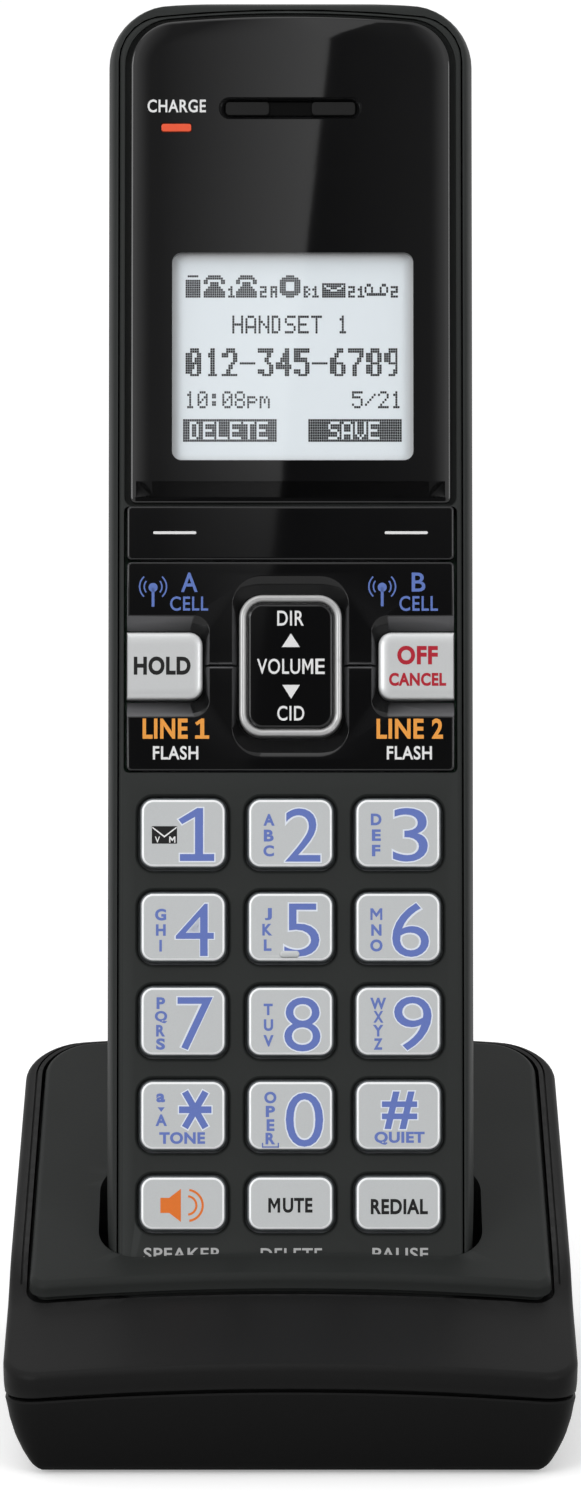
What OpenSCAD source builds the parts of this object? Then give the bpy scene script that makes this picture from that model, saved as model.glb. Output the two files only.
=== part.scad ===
// Cordless accessory handset standing in its sloped charging cradle.
// World frame: X right, -Y towards the user, Z up, feet on z = 0, origin under the middle of the whole.
// Handset frame: X right, Y into the handset from its face, Z along the handset from its lower end.

/* [Handset] */
// Width of the handset across its widest line
handset_w = 50; // [48:0.5:54]
// Length of the handset along its own axis
handset_len = 185; // [182:0.5:192]
// Thickness of the handset over the battery
handset_t = 25.5; // [25:0.25:28]
// Thickness of the lower end that stands in the pocket
foot_t = 18; // [17:0.25:20]
// Thickness of the head behind the earpiece
head_t = 20.5; // [19:0.25:23]
// Side wall of the rear shell
shell_wall = 1.4; // [1.2:0.1:1.8]
// Back wall of the rear shell and the battery cover
back_wall = 1.8; // [1.4:0.1:2.2]
// Gap at the seam between front and rear shell
seam_gap = 0.2; // [0.1:0.05:0.3]
// Thickness of the front shell's plate
plate_t = 1.8; // [1.5:0.1:2.2]

/* [Display and earpiece] */
// Width of the black face lens
lens_w = 43.8; // [42:0.2:44]
// Height along the handset at which the lens starts
lens_z = 115.3; // [114.8:0.1:116]
// Thickness of the lens
lens_t = 1.4; // [1:0.1:1.6]
// Width of the display window
window_w = 33; // [30:0.5:36]
// Height of the display window
window_h = 28.6; // [26:0.2:31]
// Width of the earpiece slot
slot_w = 19.6; // [16:0.2:22]
// Height of the earpiece slot
slot_h = 3; // [2.4:0.1:3.6]

/* [Keys] */
// Width of a keypad key
key_w = 11.7; // [10.5:0.1:12.4]
// Height of a digit key
key_h = 9.5; // [8.5:0.1:10]
// Height of a key in the bottom row
low_key_h = 7.4; // [6.5:0.1:8]
// Distance between key columns
key_pitch_x = 14.6; // [14.2:0.1:14.8]
// Distance between rows of digit keys
key_pitch_z = 12.8; // [12.4:0.1:12.9]
// Height of the bottom row's middle along the handset
low_row_z = 19.7; // [19:0.1:20.5]
// Corner radius of a key
key_r = 1.8; // [1:0.1:2.4]
// How far the keys stand out of the face
key_proud = 1.1; // [0.8:0.05:1.4]
// How far a key can be pressed
key_travel = 0.7; // [0.4:0.05:0.75]
// Clearance round a key in its hole
key_gap = 0.3; // [0.2:0.05:0.4]

/* [Function keys] */
// Width of the glossy function panel
panel_w = 44.6; // [43.6:0.1:44.8]
// Height along the handset at which the function panel starts
panel_z = 78.6; // [78.2:0.1:79.4]
// Height of the function panel
panel_h = 28.6; // [28:0.1:29]
// Width of the hold and off keys
hold_w = 10.3; // [9.5:0.1:10.8]
// Height of the hold and off keys
hold_h = 9.2; // [8.6:0.1:9.8]
// Width of the navigation ring
nav_w = 14; // [13:0.1:14.4]
// Height of the navigation ring
nav_h = 19.4; // [18.4:0.1:20]
// Width of the ring's bright band
ring_t = 1; // [0.8:0.05:1.3]

/* [Cradle] */
// Width of the cradle at its front
cradle_w = 76.8; // [76:0.2:82]
// Width of the cradle at its rear
cradle_rear_w = 74.4; // [73:0.2:80]
// Depth of the cradle
cradle_d = 78; // [77:0.5:84]
// Height of the top shell's front edge in the middle
edge_z = 16; // [15.5:0.1:18]
// Height of the parting line in the middle
parting_z = 12.6; // [12:0.1:13.2]
// Slope of the deck towards the user, degrees
slope = 16.6; // [15.5:0.1:18]
// Lean of the handset away from the user, degrees
lean = 18; // [17:0.1:19]
// Radius of the crown across the cradle
crown_r = 430; // [380:10:600]
// Length of the apron in front of the deck, along the slope
apron_len = 18.1; // [17.5:0.1:20]
// How far the deck stands above the apron
deck_rise = 2.2; // [1.8:0.1:2.6]
// Length of handset face hidden in the pocket
lip_cover = 13; // [12.5:0.1:13.4]
// Wall of the cradle shells
cradle_wall = 2.2; // [1.8:0.1:2.4]
// Clearance round the handset in its pocket
pocket_gap = 1.1; // [0.8:0.05:1.3]

/* [Hidden] */

charcoal = [0.20, 0.21, 0.21];
satin_black = [0.10, 0.10, 0.10];
gloss_black = [0.04, 0.04, 0.05];
key_silver = [0.74, 0.75, 0.76];
board_green = [0.10, 0.32, 0.18];
contact_gold = [0.80, 0.66, 0.35];
steel = [0.62, 0.63, 0.65];

// Small value that carries a cut past a surface
eps = 0.1;

// Handset outline and its layers, front to back
top_corner_r = 7.8;
top_arch_r = 180;
foot_corner_r = 4.4;
foot_taper = 0.4;
side_y = 7;
edge_in = 1.2;
rim_y = 0.3;
head_round = 7;
foot_round = 2.5;
front_inset = shell_wall + seam_gap;
floor_y = lens_t - 0.1;
floor_t = 1.5;
lens_proud = 0.15;
lens_gap = 0.45;
flange = 0.6;
flange_t = 0.6;
mat_y = plate_t + eps + flange_t + key_travel + 0.1;
mat_t = 2.2;
board_y = mat_y + mat_t + 0.1;
board_t = 1.2;
panel_proud = 0.35;
panel_back = 1.9;
panel_gap = 0.25;
bevel_y = 1;

// Heights along the handset
lens_top = handset_len - 2.4;
window_z = lens_z + 5.9 + window_h/2;
slot_z = handset_len - 15.2;
light_x = -15.65;
light_z = slot_z - 2.7;
screw_low_z = 7;
screw_high_z = handset_len - 24.5;
screw_low_x = handset_w/2 - 7.5;
screw_high_x = handset_w/2 - 6.5;
mic_z = 8;

// Function keys
split_z = panel_z + panel_h/2 + 0.1;
bar_z = panel_z + panel_h + 0.3;
bar_h = lens_z - 0.45 - bar_z;
hold_x = panel_w/2 - hold_w/2;
recess_w = nav_w + 1.8;
recess_h = nav_h + 4.9;
nav_y = 2.6;

// Battery bay
cover_w = 32;
cover_z = 62;
cover_len = 54;
cover_gap = 0.25;
bay_floor_y = 9.8;
bay_wall = 1.2;
ledge_y = handset_t - 4.1;
cell_r = 5.25;
cell_len = 45;
speaker_z = cover_z + cover_len + 25;
speaker_r = 9.5;

// Key rows, bottom row first
digit_row_z = low_row_z + low_key_h/2 + key_h/2 + 3.45;

// Cradle plan, pocket and seat
front_corner_r = 5;
rear_corner_r = 8;
lip_land = 5.4;
deck_edge = 0.7;
deck_side = 2.8;
deck_rear = 1.3;
deck_sink = 0.5;
seat_gap = 0.3;
pocket_floor = 2;
pocket_wall = 1.6;
pocket_r = 5;
lip_s = apron_len + deck_edge + lip_land;
lip_y = lip_s*cos(slope) - deck_rise*sin(slope);
lip_z = edge_z + lip_s*sin(slope) + deck_rise*cos(slope);
seat_y = lip_y + pocket_gap*cos(lean) - lip_cover*sin(lean);
seat_z = lip_z - pocket_gap*sin(lean) - lip_cover*cos(lean);

// Base tray, feet and screws
foot_h = 0.5;
tray_floor_z = 3;
foot_r = 4.2;
foot_x = 28;
foot_inset = 12;
post_x = cradle_w/2 - 7.4;
post_front = 9;
post_rear = cradle_d - 10;
boss_top = 7;
head_seat = 5;

// Contacts and charger board
contact_x = 15;
contact_y = 6;
contact_r = 1.1;
contact_fit = 0.06;
jack_z = 19;
charger_z = 12;

// ---------- shared functions ----------

// Points of an arc, both ends included
function arc(c, r, a0, a1, n) =
    [for (i = [0:n]) let (a = a0 + (a1 - a0)*i/n) [c.x + r*cos(a), c.y + r*sin(a)]];

// Points strictly between the two ends of an arc
function arc_between(c, r, a0, a1, n) =
    [for (i = [1:n - 1]) let (a = a0 + (a1 - a0)*i/n) [c.x + r*cos(a), c.y + r*sin(a)]];

// Rounded rectangle about its middle
function round_box(w, h, r, n = 5) = concat(
    arc([w/2 - r, h/2 - r], r, 0, 90, n), arc([r - w/2, h/2 - r], r, 90, 180, n),
    arc([r - w/2, r - h/2], r, 180, 270, n), arc([w/2 - r, r - h/2], r, 270, 360, n));

// Outline with an arched top and rounded corners, moved in by inset
function arched_outline(w, z0, z1, foot_r, top_r, inset = 0, n = 8) =
    let (cx = w/2 - top_r, az = z1 - top_arch_r,
         cz = az + sqrt(pow(top_arch_r - top_r, 2) - cx*cx), ca = atan2(cz - az, cx))
    concat(
        arc([w/2 - foot_r, z0 + foot_r], foot_r - inset, -90, 0, n/2),
        arc([cx, cz], top_r - inset, 0, ca, n),
        arc_between([0, az], top_arch_r - inset, ca, 180 - ca, n),
        arc([-cx, cz], top_r - inset, 180 - ca, 180, n),
        arc([foot_r - w/2, z0 + foot_r], foot_r - inset, 180, 270, n/2));

// Half width of the handset's outline at height z
corner_x = handset_w/2 - top_corner_r;
arch_z = handset_len - top_arch_r;
corner_z = arch_z + sqrt(pow(top_arch_r - top_corner_r, 2) - pow(corner_x, 2));
corner_a = atan2(corner_z - arch_z, corner_x);
function half_at(z, inset) =
    let (rf = foot_corner_r - inset, rt = top_corner_r - inset)
    z < foot_corner_r
        ? handset_w/2 - foot_corner_r + sqrt(max(0, rf*rf - pow(foot_corner_r - z, 2)))
    : z <= corner_z ? handset_w/2 - inset
    : z <= corner_z + rt*sin(corner_a) ? corner_x + sqrt(max(0, rt*rt - pow(z - corner_z, 2)))
    : sqrt(max(0, pow(top_arch_r - inset, 2) - pow(z - arch_z, 2)));

// Smooth step from 0 at a to 1 at b
function smooth(a, b, x) = let (u = max(0, min(1, (x - a)/(b - a)))) u*u*(3 - 2*u);

// Depth of the handset's back at height z: thin foot, battery bulge, slimmer head
function back_plain(z) = foot_t + (handset_t - foot_t)*smooth(30, 60, z)
    - (handset_t - head_t)*smooth(115, handset_len - 5, z);
function back_at(z) =
    z < foot_round ? back_plain(z) - foot_round + sqrt(pow(foot_round, 2) - pow(foot_round - z, 2))
    : z > handset_len - head_round ? side_y + (back_plain(z) - side_y)
        *sqrt(max(0, 1 - pow((z - handset_len + head_round)/head_round, 2)))
    : back_plain(z);

// Depth of the front rim at height z
function rim_at(z) =
    z < edge_in ? rim_y + edge_in - sqrt(pow(edge_in, 2) - pow(edge_in - z, 2))
    : z > handset_len - edge_in ? side_y - (side_y - rim_y)
        *sqrt(max(0, 1 - pow((z - handset_len + edge_in)/edge_in, 2)))
    : rim_y;

// Heights of the rear shell's sections
sections = concat([0, 0.6, 1.6, 3, foot_corner_r, 14, 24, 31, 36, 41, 46, 51, 56, 60],
    [for (z = [88:12:118]) z], [for (i = [1:5]) 118 + (corner_z - 118)*i/5],
    [for (a = [16:16:64]) corner_z + top_corner_r*sin(a)],
    [for (d = [1.1, 0.7, 0.35, 0.12]) handset_len - d]);

// Cross section of the rear shell at height z, from the right front edge round to the left one
function shell_half(z) = half_at(z, 0) - foot_taper*(1 - smooth(0, 24, z));
function section_right(z) =
    let (w = shell_half(z), e = min(edge_in, w/2), f = rim_at(z), b = back_at(z))
    concat(
        [for (a = [90:-22.5:22.5]) [w - e + e*cos(a), side_y - (side_y - f)*sin(a), z]],
        [for (a = [0:7.5:82.5]) [w*pow(cos(a), 0.62), side_y + (b - side_y)*pow(sin(a), 0.62), z]]);
function section(z) = let (r = section_right(z), n = len(r))
    concat(r, [[0, back_at(z), z]], [for (i = [n - 1:-1:0]) [-r[i].x, r[i].y, z]]);

// Cross section of the hollow inside, open to the front
function hollow_section(z, wall) =
    let (w = half_at(z, shell_wall), b = back_at(z) - wall)
    concat(
        [[w, -1, z]],
        [for (a = [0:10:80]) [w*pow(cos(a), 0.62), side_y + (b - side_y)*pow(sin(a), 0.62), z]],
        [[0, b, z]],
        [for (a = [80:-10:0]) [-w*pow(cos(a), 0.62), side_y + (b - side_y)*pow(sin(a), 0.62), z]],
        [[-w, -1, z]]);
hollow_sections = concat([shell_wall, shell_wall + 0.2, shell_wall + 0.7, 3, foot_corner_r,
    24, 31, 38, 45, 52, 60, 118], [for (i = [1:3]) 118 + (corner_z - 118)*i/3],
    [for (a = [16:16:80]) corner_z + (top_corner_r - shell_wall)*sin(a)],
    [handset_len - 1.8, handset_len - shell_wall - 0.05]);

// Solid through a list of rings that all have the same number of points
module loft(rings) {
    n = len(rings[0]);
    m = len(rings);
    low = [for (k = [0:2]) vsum([for (p = rings[0]) p[k]])/n];
    high = [for (k = [0:2]) vsum([for (p = rings[m - 1]) p[k]])/n];
    points = concat([for (ring = rings) each ring], [low, high]);
    sides = [for (j = [0:m - 2], i = [0:n - 1]) let (a = j*n + i, b = j*n + (i + 1)%n)
        each [[a, a + n, b], [b, a + n, b + n]]];
    bottom = [for (i = [0:n - 1]) [i, (i + 1)%n, m*n]];
    top = [for (i = [0:n - 1]) [(m - 1)*n + (i + 1)%n, (m - 1)*n + i, m*n + 1]];
    polyhedron(points, concat(sides, bottom, top), convexity = 6);
}
function vsum(v, i = 0) = i >= len(v) ? 0 : v[i] + vsum(v, i + 1);

// Plan outline of the cradle and its deck, with points along the front and rear edges
function plan(front_w, rear_w, y0, y1, rf, rr, inset = 0, n = 5, m = 8) =
    let (fx = front_w/2 - rf, rx = rear_w/2 - rr)
    concat(
        [for (i = [1:m - 1]) [-fx + 2*fx*i/m, y0 + inset]],
        arc([fx, y0 + rf], rf - inset, -90, 0, n),
        arc([rx, y1 - rr], rr - inset, 0, 90, n),
        [for (i = [1:m - 1]) [rx - 2*rx*i/m, y1 - inset]],
        arc([-rx, y1 - rr], rr - inset, 90, 180, n),
        arc([-fx, y0 + rf], rf - inset, 180, 270, n));
function cradle_plan(inset) =
    plan(cradle_w, cradle_rear_w, 0, cradle_d, front_corner_r, rear_corner_r, inset);
deck_y = apron_len*cos(slope);
deck_corner_r = 2.5;
function deck_plan(inset) = plan(cradle_w - 2*deck_side - 0.6, cradle_rear_w - 2*deck_side + 0.2,
    deck_y, cradle_d - deck_rear, deck_corner_r, rear_corner_r - deck_rear, inset);

// Crowned surfaces of the cradle
function crown(x) = x*x/(2*crown_r);
function roof_z(x, y, up = 0) = edge_z + y*tan(slope) - crown(x) + up/cos(slope);
function on_roof(outline, up) = [for (p = outline) [p.x, p.y, roof_z(p.x, p.y, up)]];
function at_level(outline, z) = [for (p = outline) [p.x, p.y, z]];
function at_parting(outline, up) = [for (p = outline) [p.x, p.y, parting_z - crown(p.x) + up]];
function shrink(outline, k) = let (cy = cradle_d/2)
    [for (p = outline) [p.x*k, cy + (p.y - cy)*k]];

// ---------- shared modules ----------

// Extrudes an X-Z outline from depth y0 to y1
module slab(y0, y1) {
    translate([0, y1, 0]) rotate([90, 0, 0]) linear_extrude(y1 - y0) children();
}

// Rounded box in the handset's face, about x, z
module face_box(x, z, w, h, r, y0, y1) {
    translate([x, 0, z]) slab(y0, y1) polygon(round_box(w, h, r));
}

// Tapered opening from one rounded box at the front to a smaller one behind
module funnel(x, z, front, back, y0, y1) {
    hull() {
        face_box(x + front[3], z, front[0], front[1], front[2], y0 - eps, y0);
        face_box(x + back[3], z, back[0], back[1], back[2], y1, y1 + eps);
    }
}

// Hole through the handset along its depth
module bore(x, z, r, y0, y1) {
    translate([x, y0, z]) rotate([-90, 0, 0]) cylinder(r = r, h = y1 - y0, $fn = 48);
}

// Puts handset parts where the handset stands in the cradle
module seated() {
    translate([0, front_y + seat_y, seat_z]) rotate([-lean, 0, 0]) children();
}

// Puts cradle parts with their front edge in place
module in_cradle() {
    translate([0, front_y, 0]) children();
}

// The whole stands with its origin under the middle of its depth
rear_reach = seat_y + max([for (z = sections) z*sin(lean) + back_at(z)*cos(lean)]);
front_y = -max(rear_reach, cradle_d)/2;

// ---------- handset ----------

module lens_outline(grow) {
    polygon(arched_outline(lens_w + 2*grow, lens_z - grow, lens_top + grow, 0.8 + grow, 6.2 + grow));
}

module handset_front_shell() color(charcoal) seated() difference() {
    union() {
        slab(0, plate_t) polygon(arched_outline(handset_w, 0, handset_len, foot_corner_r,
            top_corner_r, front_inset));
        intersection() {
            slab(0, floor_y + floor_t) polygon(arched_outline(handset_w, 0, handset_len,
                foot_corner_r, top_corner_r, front_inset));
            translate([-handset_w/2, -1, lens_z - lens_gap]) cube([handset_w, 9, handset_len]);
        }
        // Skirt that carries the circuit board
        difference() {
            slab(plate_t - eps, board_y - 0.1) polygon(arched_outline(handset_w, 0, handset_len,
                foot_corner_r, top_corner_r, front_inset));
            slab(0, board_y + 1) polygon(arched_outline(handset_w, 0, handset_len,
                foot_corner_r, top_corner_r, front_inset + 1.4));
        }
        for (s = [-1, 1]) {
            bore(s*screw_low_x, screw_low_z, 2.4, plate_t - eps, bay_floor_y + 0.4);
            bore(s*screw_high_x, screw_high_z, 2.4, floor_y + eps, bay_floor_y + 0.4);
        }
    }
    // Chamfer round the face
    difference() {
        slab(-1, 0.4) polygon(arched_outline(handset_w, 0, handset_len, foot_corner_r,
            top_corner_r, front_inset - 0.1));
        hull() {
            slab(-1, -0.9) polygon(arched_outline(handset_w, 0, handset_len, foot_corner_r,
                top_corner_r, front_inset + 1.4));
            slab(0.4, 0.5) polygon(arched_outline(handset_w, 0, handset_len, foot_corner_r,
                top_corner_r, front_inset));
        }
    }
    // Seat of the lens, display window and earpiece
    slab(-1, floor_y) lens_outline(lens_gap);
    face_box(0.3, window_z, window_w + 1, window_h + 1, 1.2, 0, 9);
    face_box(0, slot_z, slot_w + 0.6, slot_h + 0.6, 1.7, 0, floor_y + 0.7);
    face_box(0, slot_z, 5.4, slot_h - 0.8, 0.8, 0, 9);
    face_box(light_x, light_z, 4.5, 1.5, 0.5, 0, 9);
    // Opening of the function panel
    face_box(0, (panel_z + lens_z - lens_gap)/2 - panel_gap/2, panel_w + 2*panel_gap,
        lens_z - lens_gap - panel_z + panel_gap, 0.6, -1, 9);
    // Keypad holes
    for (c = [-1:1], r = [0:3])
        face_box(c*key_pitch_x, digit_row_z + r*key_pitch_z, key_w + 2*key_gap,
            key_h + 2*key_gap, key_r + key_gap, -1, plate_t + 1);
    for (c = [-1:1])
        face_box(c*key_pitch_x, low_row_z, key_w + 2*key_gap, low_key_h + 2*key_gap,
            key_r + key_gap, -1, plate_t + 1);
    bore(0, mic_z, 0.6, -1, 9);
    for (s = [-1, 1]) {
        bore(s*screw_low_x, screw_low_z, 1.05, 4, 12);
        bore(s*screw_high_x, screw_high_z, 1.05, 4, 12);
    }
}

// Parallelogram through which the battery cover slides out, seen from the side
module cover_cut(grow) {
    low = cover_z + handset_t - ledge_y - grow*sqrt(2);
    high = low + cover_len + 2*grow*sqrt(2);
    out = 13;
    translate([-cover_w/2 - grow, 0, 0]) rotate([90, 0, 90]) linear_extrude(cover_w + 2*grow)
        polygon([[ledge_y, low], [ledge_y + out, low - out], [ledge_y + out, high - out], [ledge_y, high]]);
}

// Space inside the rear shell, less the battery bay, screw tubes and speaker ring that it keeps
module rear_hollow() difference() {
    loft([for (z = hollow_sections) hollow_section(z, back_wall)]);
    translate([-cover_w/2 - bay_wall, bay_floor_y, cover_z - 1])
        cube([cover_w + 2*bay_wall, handset_t, cover_len + 6]);
    for (s = [-1, 1]) {
        bore(s*screw_low_x, screw_low_z, 3.6, bay_floor_y + 0.5, handset_t);
        bore(s*screw_high_x, screw_high_z, 3.6, bay_floor_y + 0.5, handset_t);
    }
    difference() {
        bore(0, speaker_z, speaker_r + 1.5, back_at(speaker_z) - 7, handset_t);
        bore(0, speaker_z, speaker_r + 0.3, 0, back_at(speaker_z) - back_wall);
    }
}

module handset_rear_shell() color(charcoal) seated() difference() {
    loft([for (z = sections) section(z)]);
    rear_hollow();
    cover_cut(cover_gap);
    // Inside of the battery bay
    translate([-cover_w/2 + 1, bay_floor_y + bay_wall, cover_z + 4])
        cube([cover_w - 2, handset_t, cover_len - 5]);
    // Sound slots behind the loudspeaker
    for (i = [-2:2])
        face_box(0, speaker_z + i*2.9, 14 - abs(i)*2.4, 1.3, 0.6, side_y + 8, 40);
    for (s = [-1, 1]) {
        bore(s*screw_low_x, screw_low_z, 2.5, bay_floor_y + 1.7, 40);
        bore(s*screw_low_x, screw_low_z, 1.3, bay_floor_y, 40);
        bore(s*screw_high_x, screw_high_z, 2.5, bay_floor_y + 1.7, 40);
        bore(s*screw_high_x, screw_high_z, 1.3, bay_floor_y, 40);
        // Seats of the charge plates in the lower end
        translate([s*contact_x - 2.6, contact_y - 2.4, -1]) cube([5.2, 4.8, 1.55]);
    }
}

module face_lens() color(gloss_black) seated() difference() {
    slab(-lens_proud, floor_y) lens_outline(0);
    funnel(0, slot_z, [slot_w, slot_h, 1.45, 0], [slot_w - 1.4, slot_h - 1, 0.95, 0], -lens_proud, 0.6);
    face_box(0, slot_z, slot_w - 1.4, slot_h - 1, 0.95, 0, 9);
    face_box(light_x, light_z, 4.3, 1.3, 0.4, -1, 9);
}

module lcd_module() color([0.72, 0.78, 0.82]) seated() difference() {
    translate([-window_w/2 - 2.5, floor_y + floor_t + 0.1, window_z - window_h/2 - 4.3])
        cube([window_w + 5, board_y - floor_y - floor_t - 0.2, window_h + 8.6]);
    // Glass step round the active area
    translate([-window_w/2 - 3.5, floor_y + floor_t, window_z + window_h/2 + 1.3])
        cube([window_w + 7, 0.7, 5]);
}

module earpiece_speaker() color(satin_black) seated() difference() {
    bore(0, slot_z, 6.6, floor_y + floor_t + 0.1, board_y - 0.1);
    bore(0, slot_z, 4.6, 0, floor_y + floor_t + 0.7);
}

module charge_light_pipe() color([0.95, 0.35, 0.15]) seated() union() {
    face_box(light_x, light_z, 4.1, 1.1, 0.35, -lens_proud - 0.05, board_y - 0.1);
    face_box(light_x, light_z, 6, 2.6, 0.5, floor_y + floor_t + 0.1, board_y - 1.2);
}

module softkey_bar() color(gloss_black) seated() union() {
    face_box(0, bar_z + bar_h/2, panel_w, bar_h, 0.5, -panel_proud, panel_back);
    for (s = [-1, 1]) face_box(s*16, bar_z + bar_h/2, 3, 3, 0.5, panel_back - eps, mat_y - 0.5);
}

// Recesses that the function plates leave for the ring and the two metal-look keys
module panel_recesses() {
    gap = 0.3;
    funnel(0, panel_z + panel_h/2, [recess_w, recess_h, 4, 0],
        [nav_w + 2*gap, nav_h + 2*gap, 3.4, 0], -panel_proud, bevel_y);
    face_box(0, panel_z + panel_h/2, nav_w + 2*gap, nav_h + 2*gap, 3.4, 0, 9);
    for (s = [-1, 1]) {
        funnel(s*(hold_x + 1), panel_z + panel_h/2, [hold_w + 3.8, hold_h + 4.4, 2.3, 0],
            [hold_w + 2 + 2*gap, hold_h + 2*gap, 2.1, 0], -panel_proud, bevel_y);
        face_box(s*(hold_x + 1), panel_z + panel_h/2, hold_w + 2 + 2*gap, hold_h + 2*gap, 2.1, 0, 9);
    }
}

module function_plate(z0, z1) difference() {
    union() {
        face_box(0, (z0 + z1)/2, panel_w, z1 - z0, 0.5, -panel_proud, panel_back);
        for (s = [-1, 1])
            face_box(s*16, z0 < split_z - 1 ? z0 + 4 : z1 - 4, 3, 3, 0.5, panel_back - eps, mat_y - 0.5);
    }
    panel_recesses();
}

module cell_key_plate() color(gloss_black) seated() function_plate(split_z + 0.15, panel_z + panel_h);

module line_key_plate() color(gloss_black) seated() function_plate(panel_z, split_z - 0.15);

// Metal-look key whose outer side is flush with the panel and whose inner corners are round
module side_key(s) {
    z = panel_z + panel_h/2;
    intersection() {
        face_box(s*(hold_x + 1), z, hold_w + 2, hold_h, 1.8, -0.9, nav_y);
        face_box(s*hold_x, z, hold_w, hold_h + 1, 0.2, -0.5, nav_y);
    }
    intersection() {
        hull() {
            face_box(s*(hold_x + 1), z, hold_w + 2, hold_h, 1.8, -0.55, -0.5);
            face_box(s*(hold_x + 1.15), z, hold_w + 1.7, hold_h - 0.6, 1.5, -0.9, -0.85);
        }
        face_box(s*hold_x, z, hold_w, hold_h + 1, 0.2, -2, nav_y);
    }
}

module hold_key() color(key_silver) seated() side_key(-1);

module off_key() color(key_silver) seated() side_key(1);

module nav_ring() color(steel) seated() difference() {
    union() {
        face_box(0, panel_z + panel_h/2, nav_w, nav_h, 3.2, -0.95, nav_y);
        hull() {
            face_box(0, panel_z + panel_h/2, nav_w, nav_h, 3.2, -1, -0.95);
            face_box(0, panel_z + panel_h/2, nav_w - 0.6, nav_h - 0.6, 2.9, -1.3, -1.25);
        }
    }
    face_box(0, panel_z + panel_h/2, nav_w - 2*ring_t, nav_h - 2*ring_t, 2.4, -3, 0.9);
}

module nav_cap() color(gloss_black) seated() hull() {
    face_box(0, panel_z + panel_h/2, nav_w - 2*ring_t - 0.4, nav_h - 2*ring_t - 0.4, 2.2, -0.8, 0.85);
    face_box(0, panel_z + panel_h/2, nav_w - 2*ring_t - 1, nav_h - 2*ring_t - 1, 1.9, -1, 0);
}

// Keypad key with a chamfered top and a retaining flange behind the plate
module keypad_key(x, z, h) {
    face_box(x, z, key_w, h, key_r, -key_proud + 0.4, plate_t + eps + flange_t);
    hull() {
        face_box(x, z, key_w, h, key_r, -key_proud + 0.35, -key_proud + 0.4);
        face_box(x, z, key_w - 0.5, h - 0.5, key_r - 0.25, -key_proud + 0.1, -key_proud + 0.15);
        face_box(x, z, key_w - 1.1, h - 1.1, key_r - 0.5, -key_proud, -key_proud + 0.05);
    }
    face_box(x, z, key_w + 2*flange + 0.4, h + 2*flange + 0.4, key_r,
        plate_t + eps, plate_t + eps + flange_t);
}

module digit_key(column, row) color(key_silver) seated()
    keypad_key(column*key_pitch_x, digit_row_z + row*key_pitch_z, key_h);

module low_key(column) color(key_silver) seated()
    keypad_key(column*key_pitch_x, low_row_z, low_key_h);

module key_1() digit_key(-1, 3);
module key_2() digit_key(0, 3);
module key_3() digit_key(1, 3);
module key_4() digit_key(-1, 2);
// The middle key carries the raised dot that a finger finds
module key_5() {
    digit_key(0, 2);
    color(key_silver) seated()
        face_box(-0.6, digit_row_z + 2*key_pitch_z - 3, 2.2, 0.6, 0.29, -key_proud - 0.25, -key_proud + 0.2);
}
module key_6() digit_key(1, 2);
module key_7() digit_key(-1, 1);
module key_8() digit_key(0, 1);
module key_9() digit_key(1, 1);
module key_star() digit_key(-1, 0);
module key_0() digit_key(0, 0);
module key_pound() digit_key(1, 0);
module key_speaker() low_key(-1);
module key_mute() low_key(0);
module key_redial() low_key(1);

module keypad_mat() color([0.25, 0.26, 0.27]) seated() difference() {
    translate([-key_pitch_x - key_w/2, mat_y, low_row_z - low_key_h/2 - 3])
        cube([2*key_pitch_x + key_w, mat_t, lens_z - low_row_z + low_key_h/2 + 1]);
    // Hollows under the domes
    for (c = [-1:1], r = [0:3])
        bore(c*key_pitch_x, digit_row_z + r*key_pitch_z, 3, board_y - 1, board_y + 1);
    for (c = [-1:1]) bore(c*key_pitch_x, low_row_z, 3, board_y - 1, board_y + 1);
}

module handset_circuit_board() color(board_green) seated() difference() {
    union() {
        slab(board_y, board_y + board_t) polygon(arched_outline(handset_w, 0, handset_len,
            foot_corner_r, top_corner_r, front_inset + 0.6));
        // Radio shield and battery socket
        translate([-12, board_y + board_t - eps, lens_z + 6]) cube([24, 2.6, 20]);
        translate([-5, board_y + board_t - eps, 48]) cube([10, 5, 6]);
    }
    for (s = [-1, 1]) {
        bore(s*screw_low_x, screw_low_z, 2.7, 0, 40);
        bore(s*screw_high_x, screw_high_z, 2.7, 0, 40);
    }
}

module loudspeaker() color(satin_black) seated() union() {
    back = back_at(speaker_z + speaker_r) - back_wall - 0.6;
    bore(0, speaker_z, speaker_r, back - 4.2, back);
    bore(0, speaker_z, 6, back - 6.6, back - 4.1);
}

module microphone() color(steel) seated() bore(0, mic_z, 2.4, plate_t + 0.2, board_y - 0.1);

module battery_pack() color([0.20, 0.35, 0.62]) seated() {
    for (s = [-1, 1]) translate([s*cell_r, bay_floor_y + bay_wall + 0.2 + cell_r, cover_z + 5.5])
        cylinder(r = cell_r + 0.05, h = cell_len, $fn = 64);
    translate([-cell_r, bay_floor_y + bay_wall + 0.2, cover_z + 5.8])
        cube([2*cell_r, 2*cell_r, cell_len - 0.6]);
}

module battery_cover() color(charcoal) seated() difference() {
    intersection() {
        loft([for (z = [cover_z - 10, 56, 60, 88, 100, 112, 118, 130]) section(z)]);
        cover_cut(0);
    }
    loft([for (z = [cover_z - 14, 52, 60, 118, 126, 134]) hollow_section(z, back_wall)]);
    // Thumb ridges
    for (i = [0:3]) translate([-7, handset_t + 0.35, cover_z + 4 + i*2.4])
        rotate([0, 90, 0]) cylinder(r = 0.8, h = 14, $fn = 24);
}

module handset_charge_plates() color(contact_gold) seated()
    for (s = [-1, 1]) translate([s*contact_x - 2.5, contact_y - 2.3, 0]) cube([5, 4.6, 0.5]);

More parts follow.
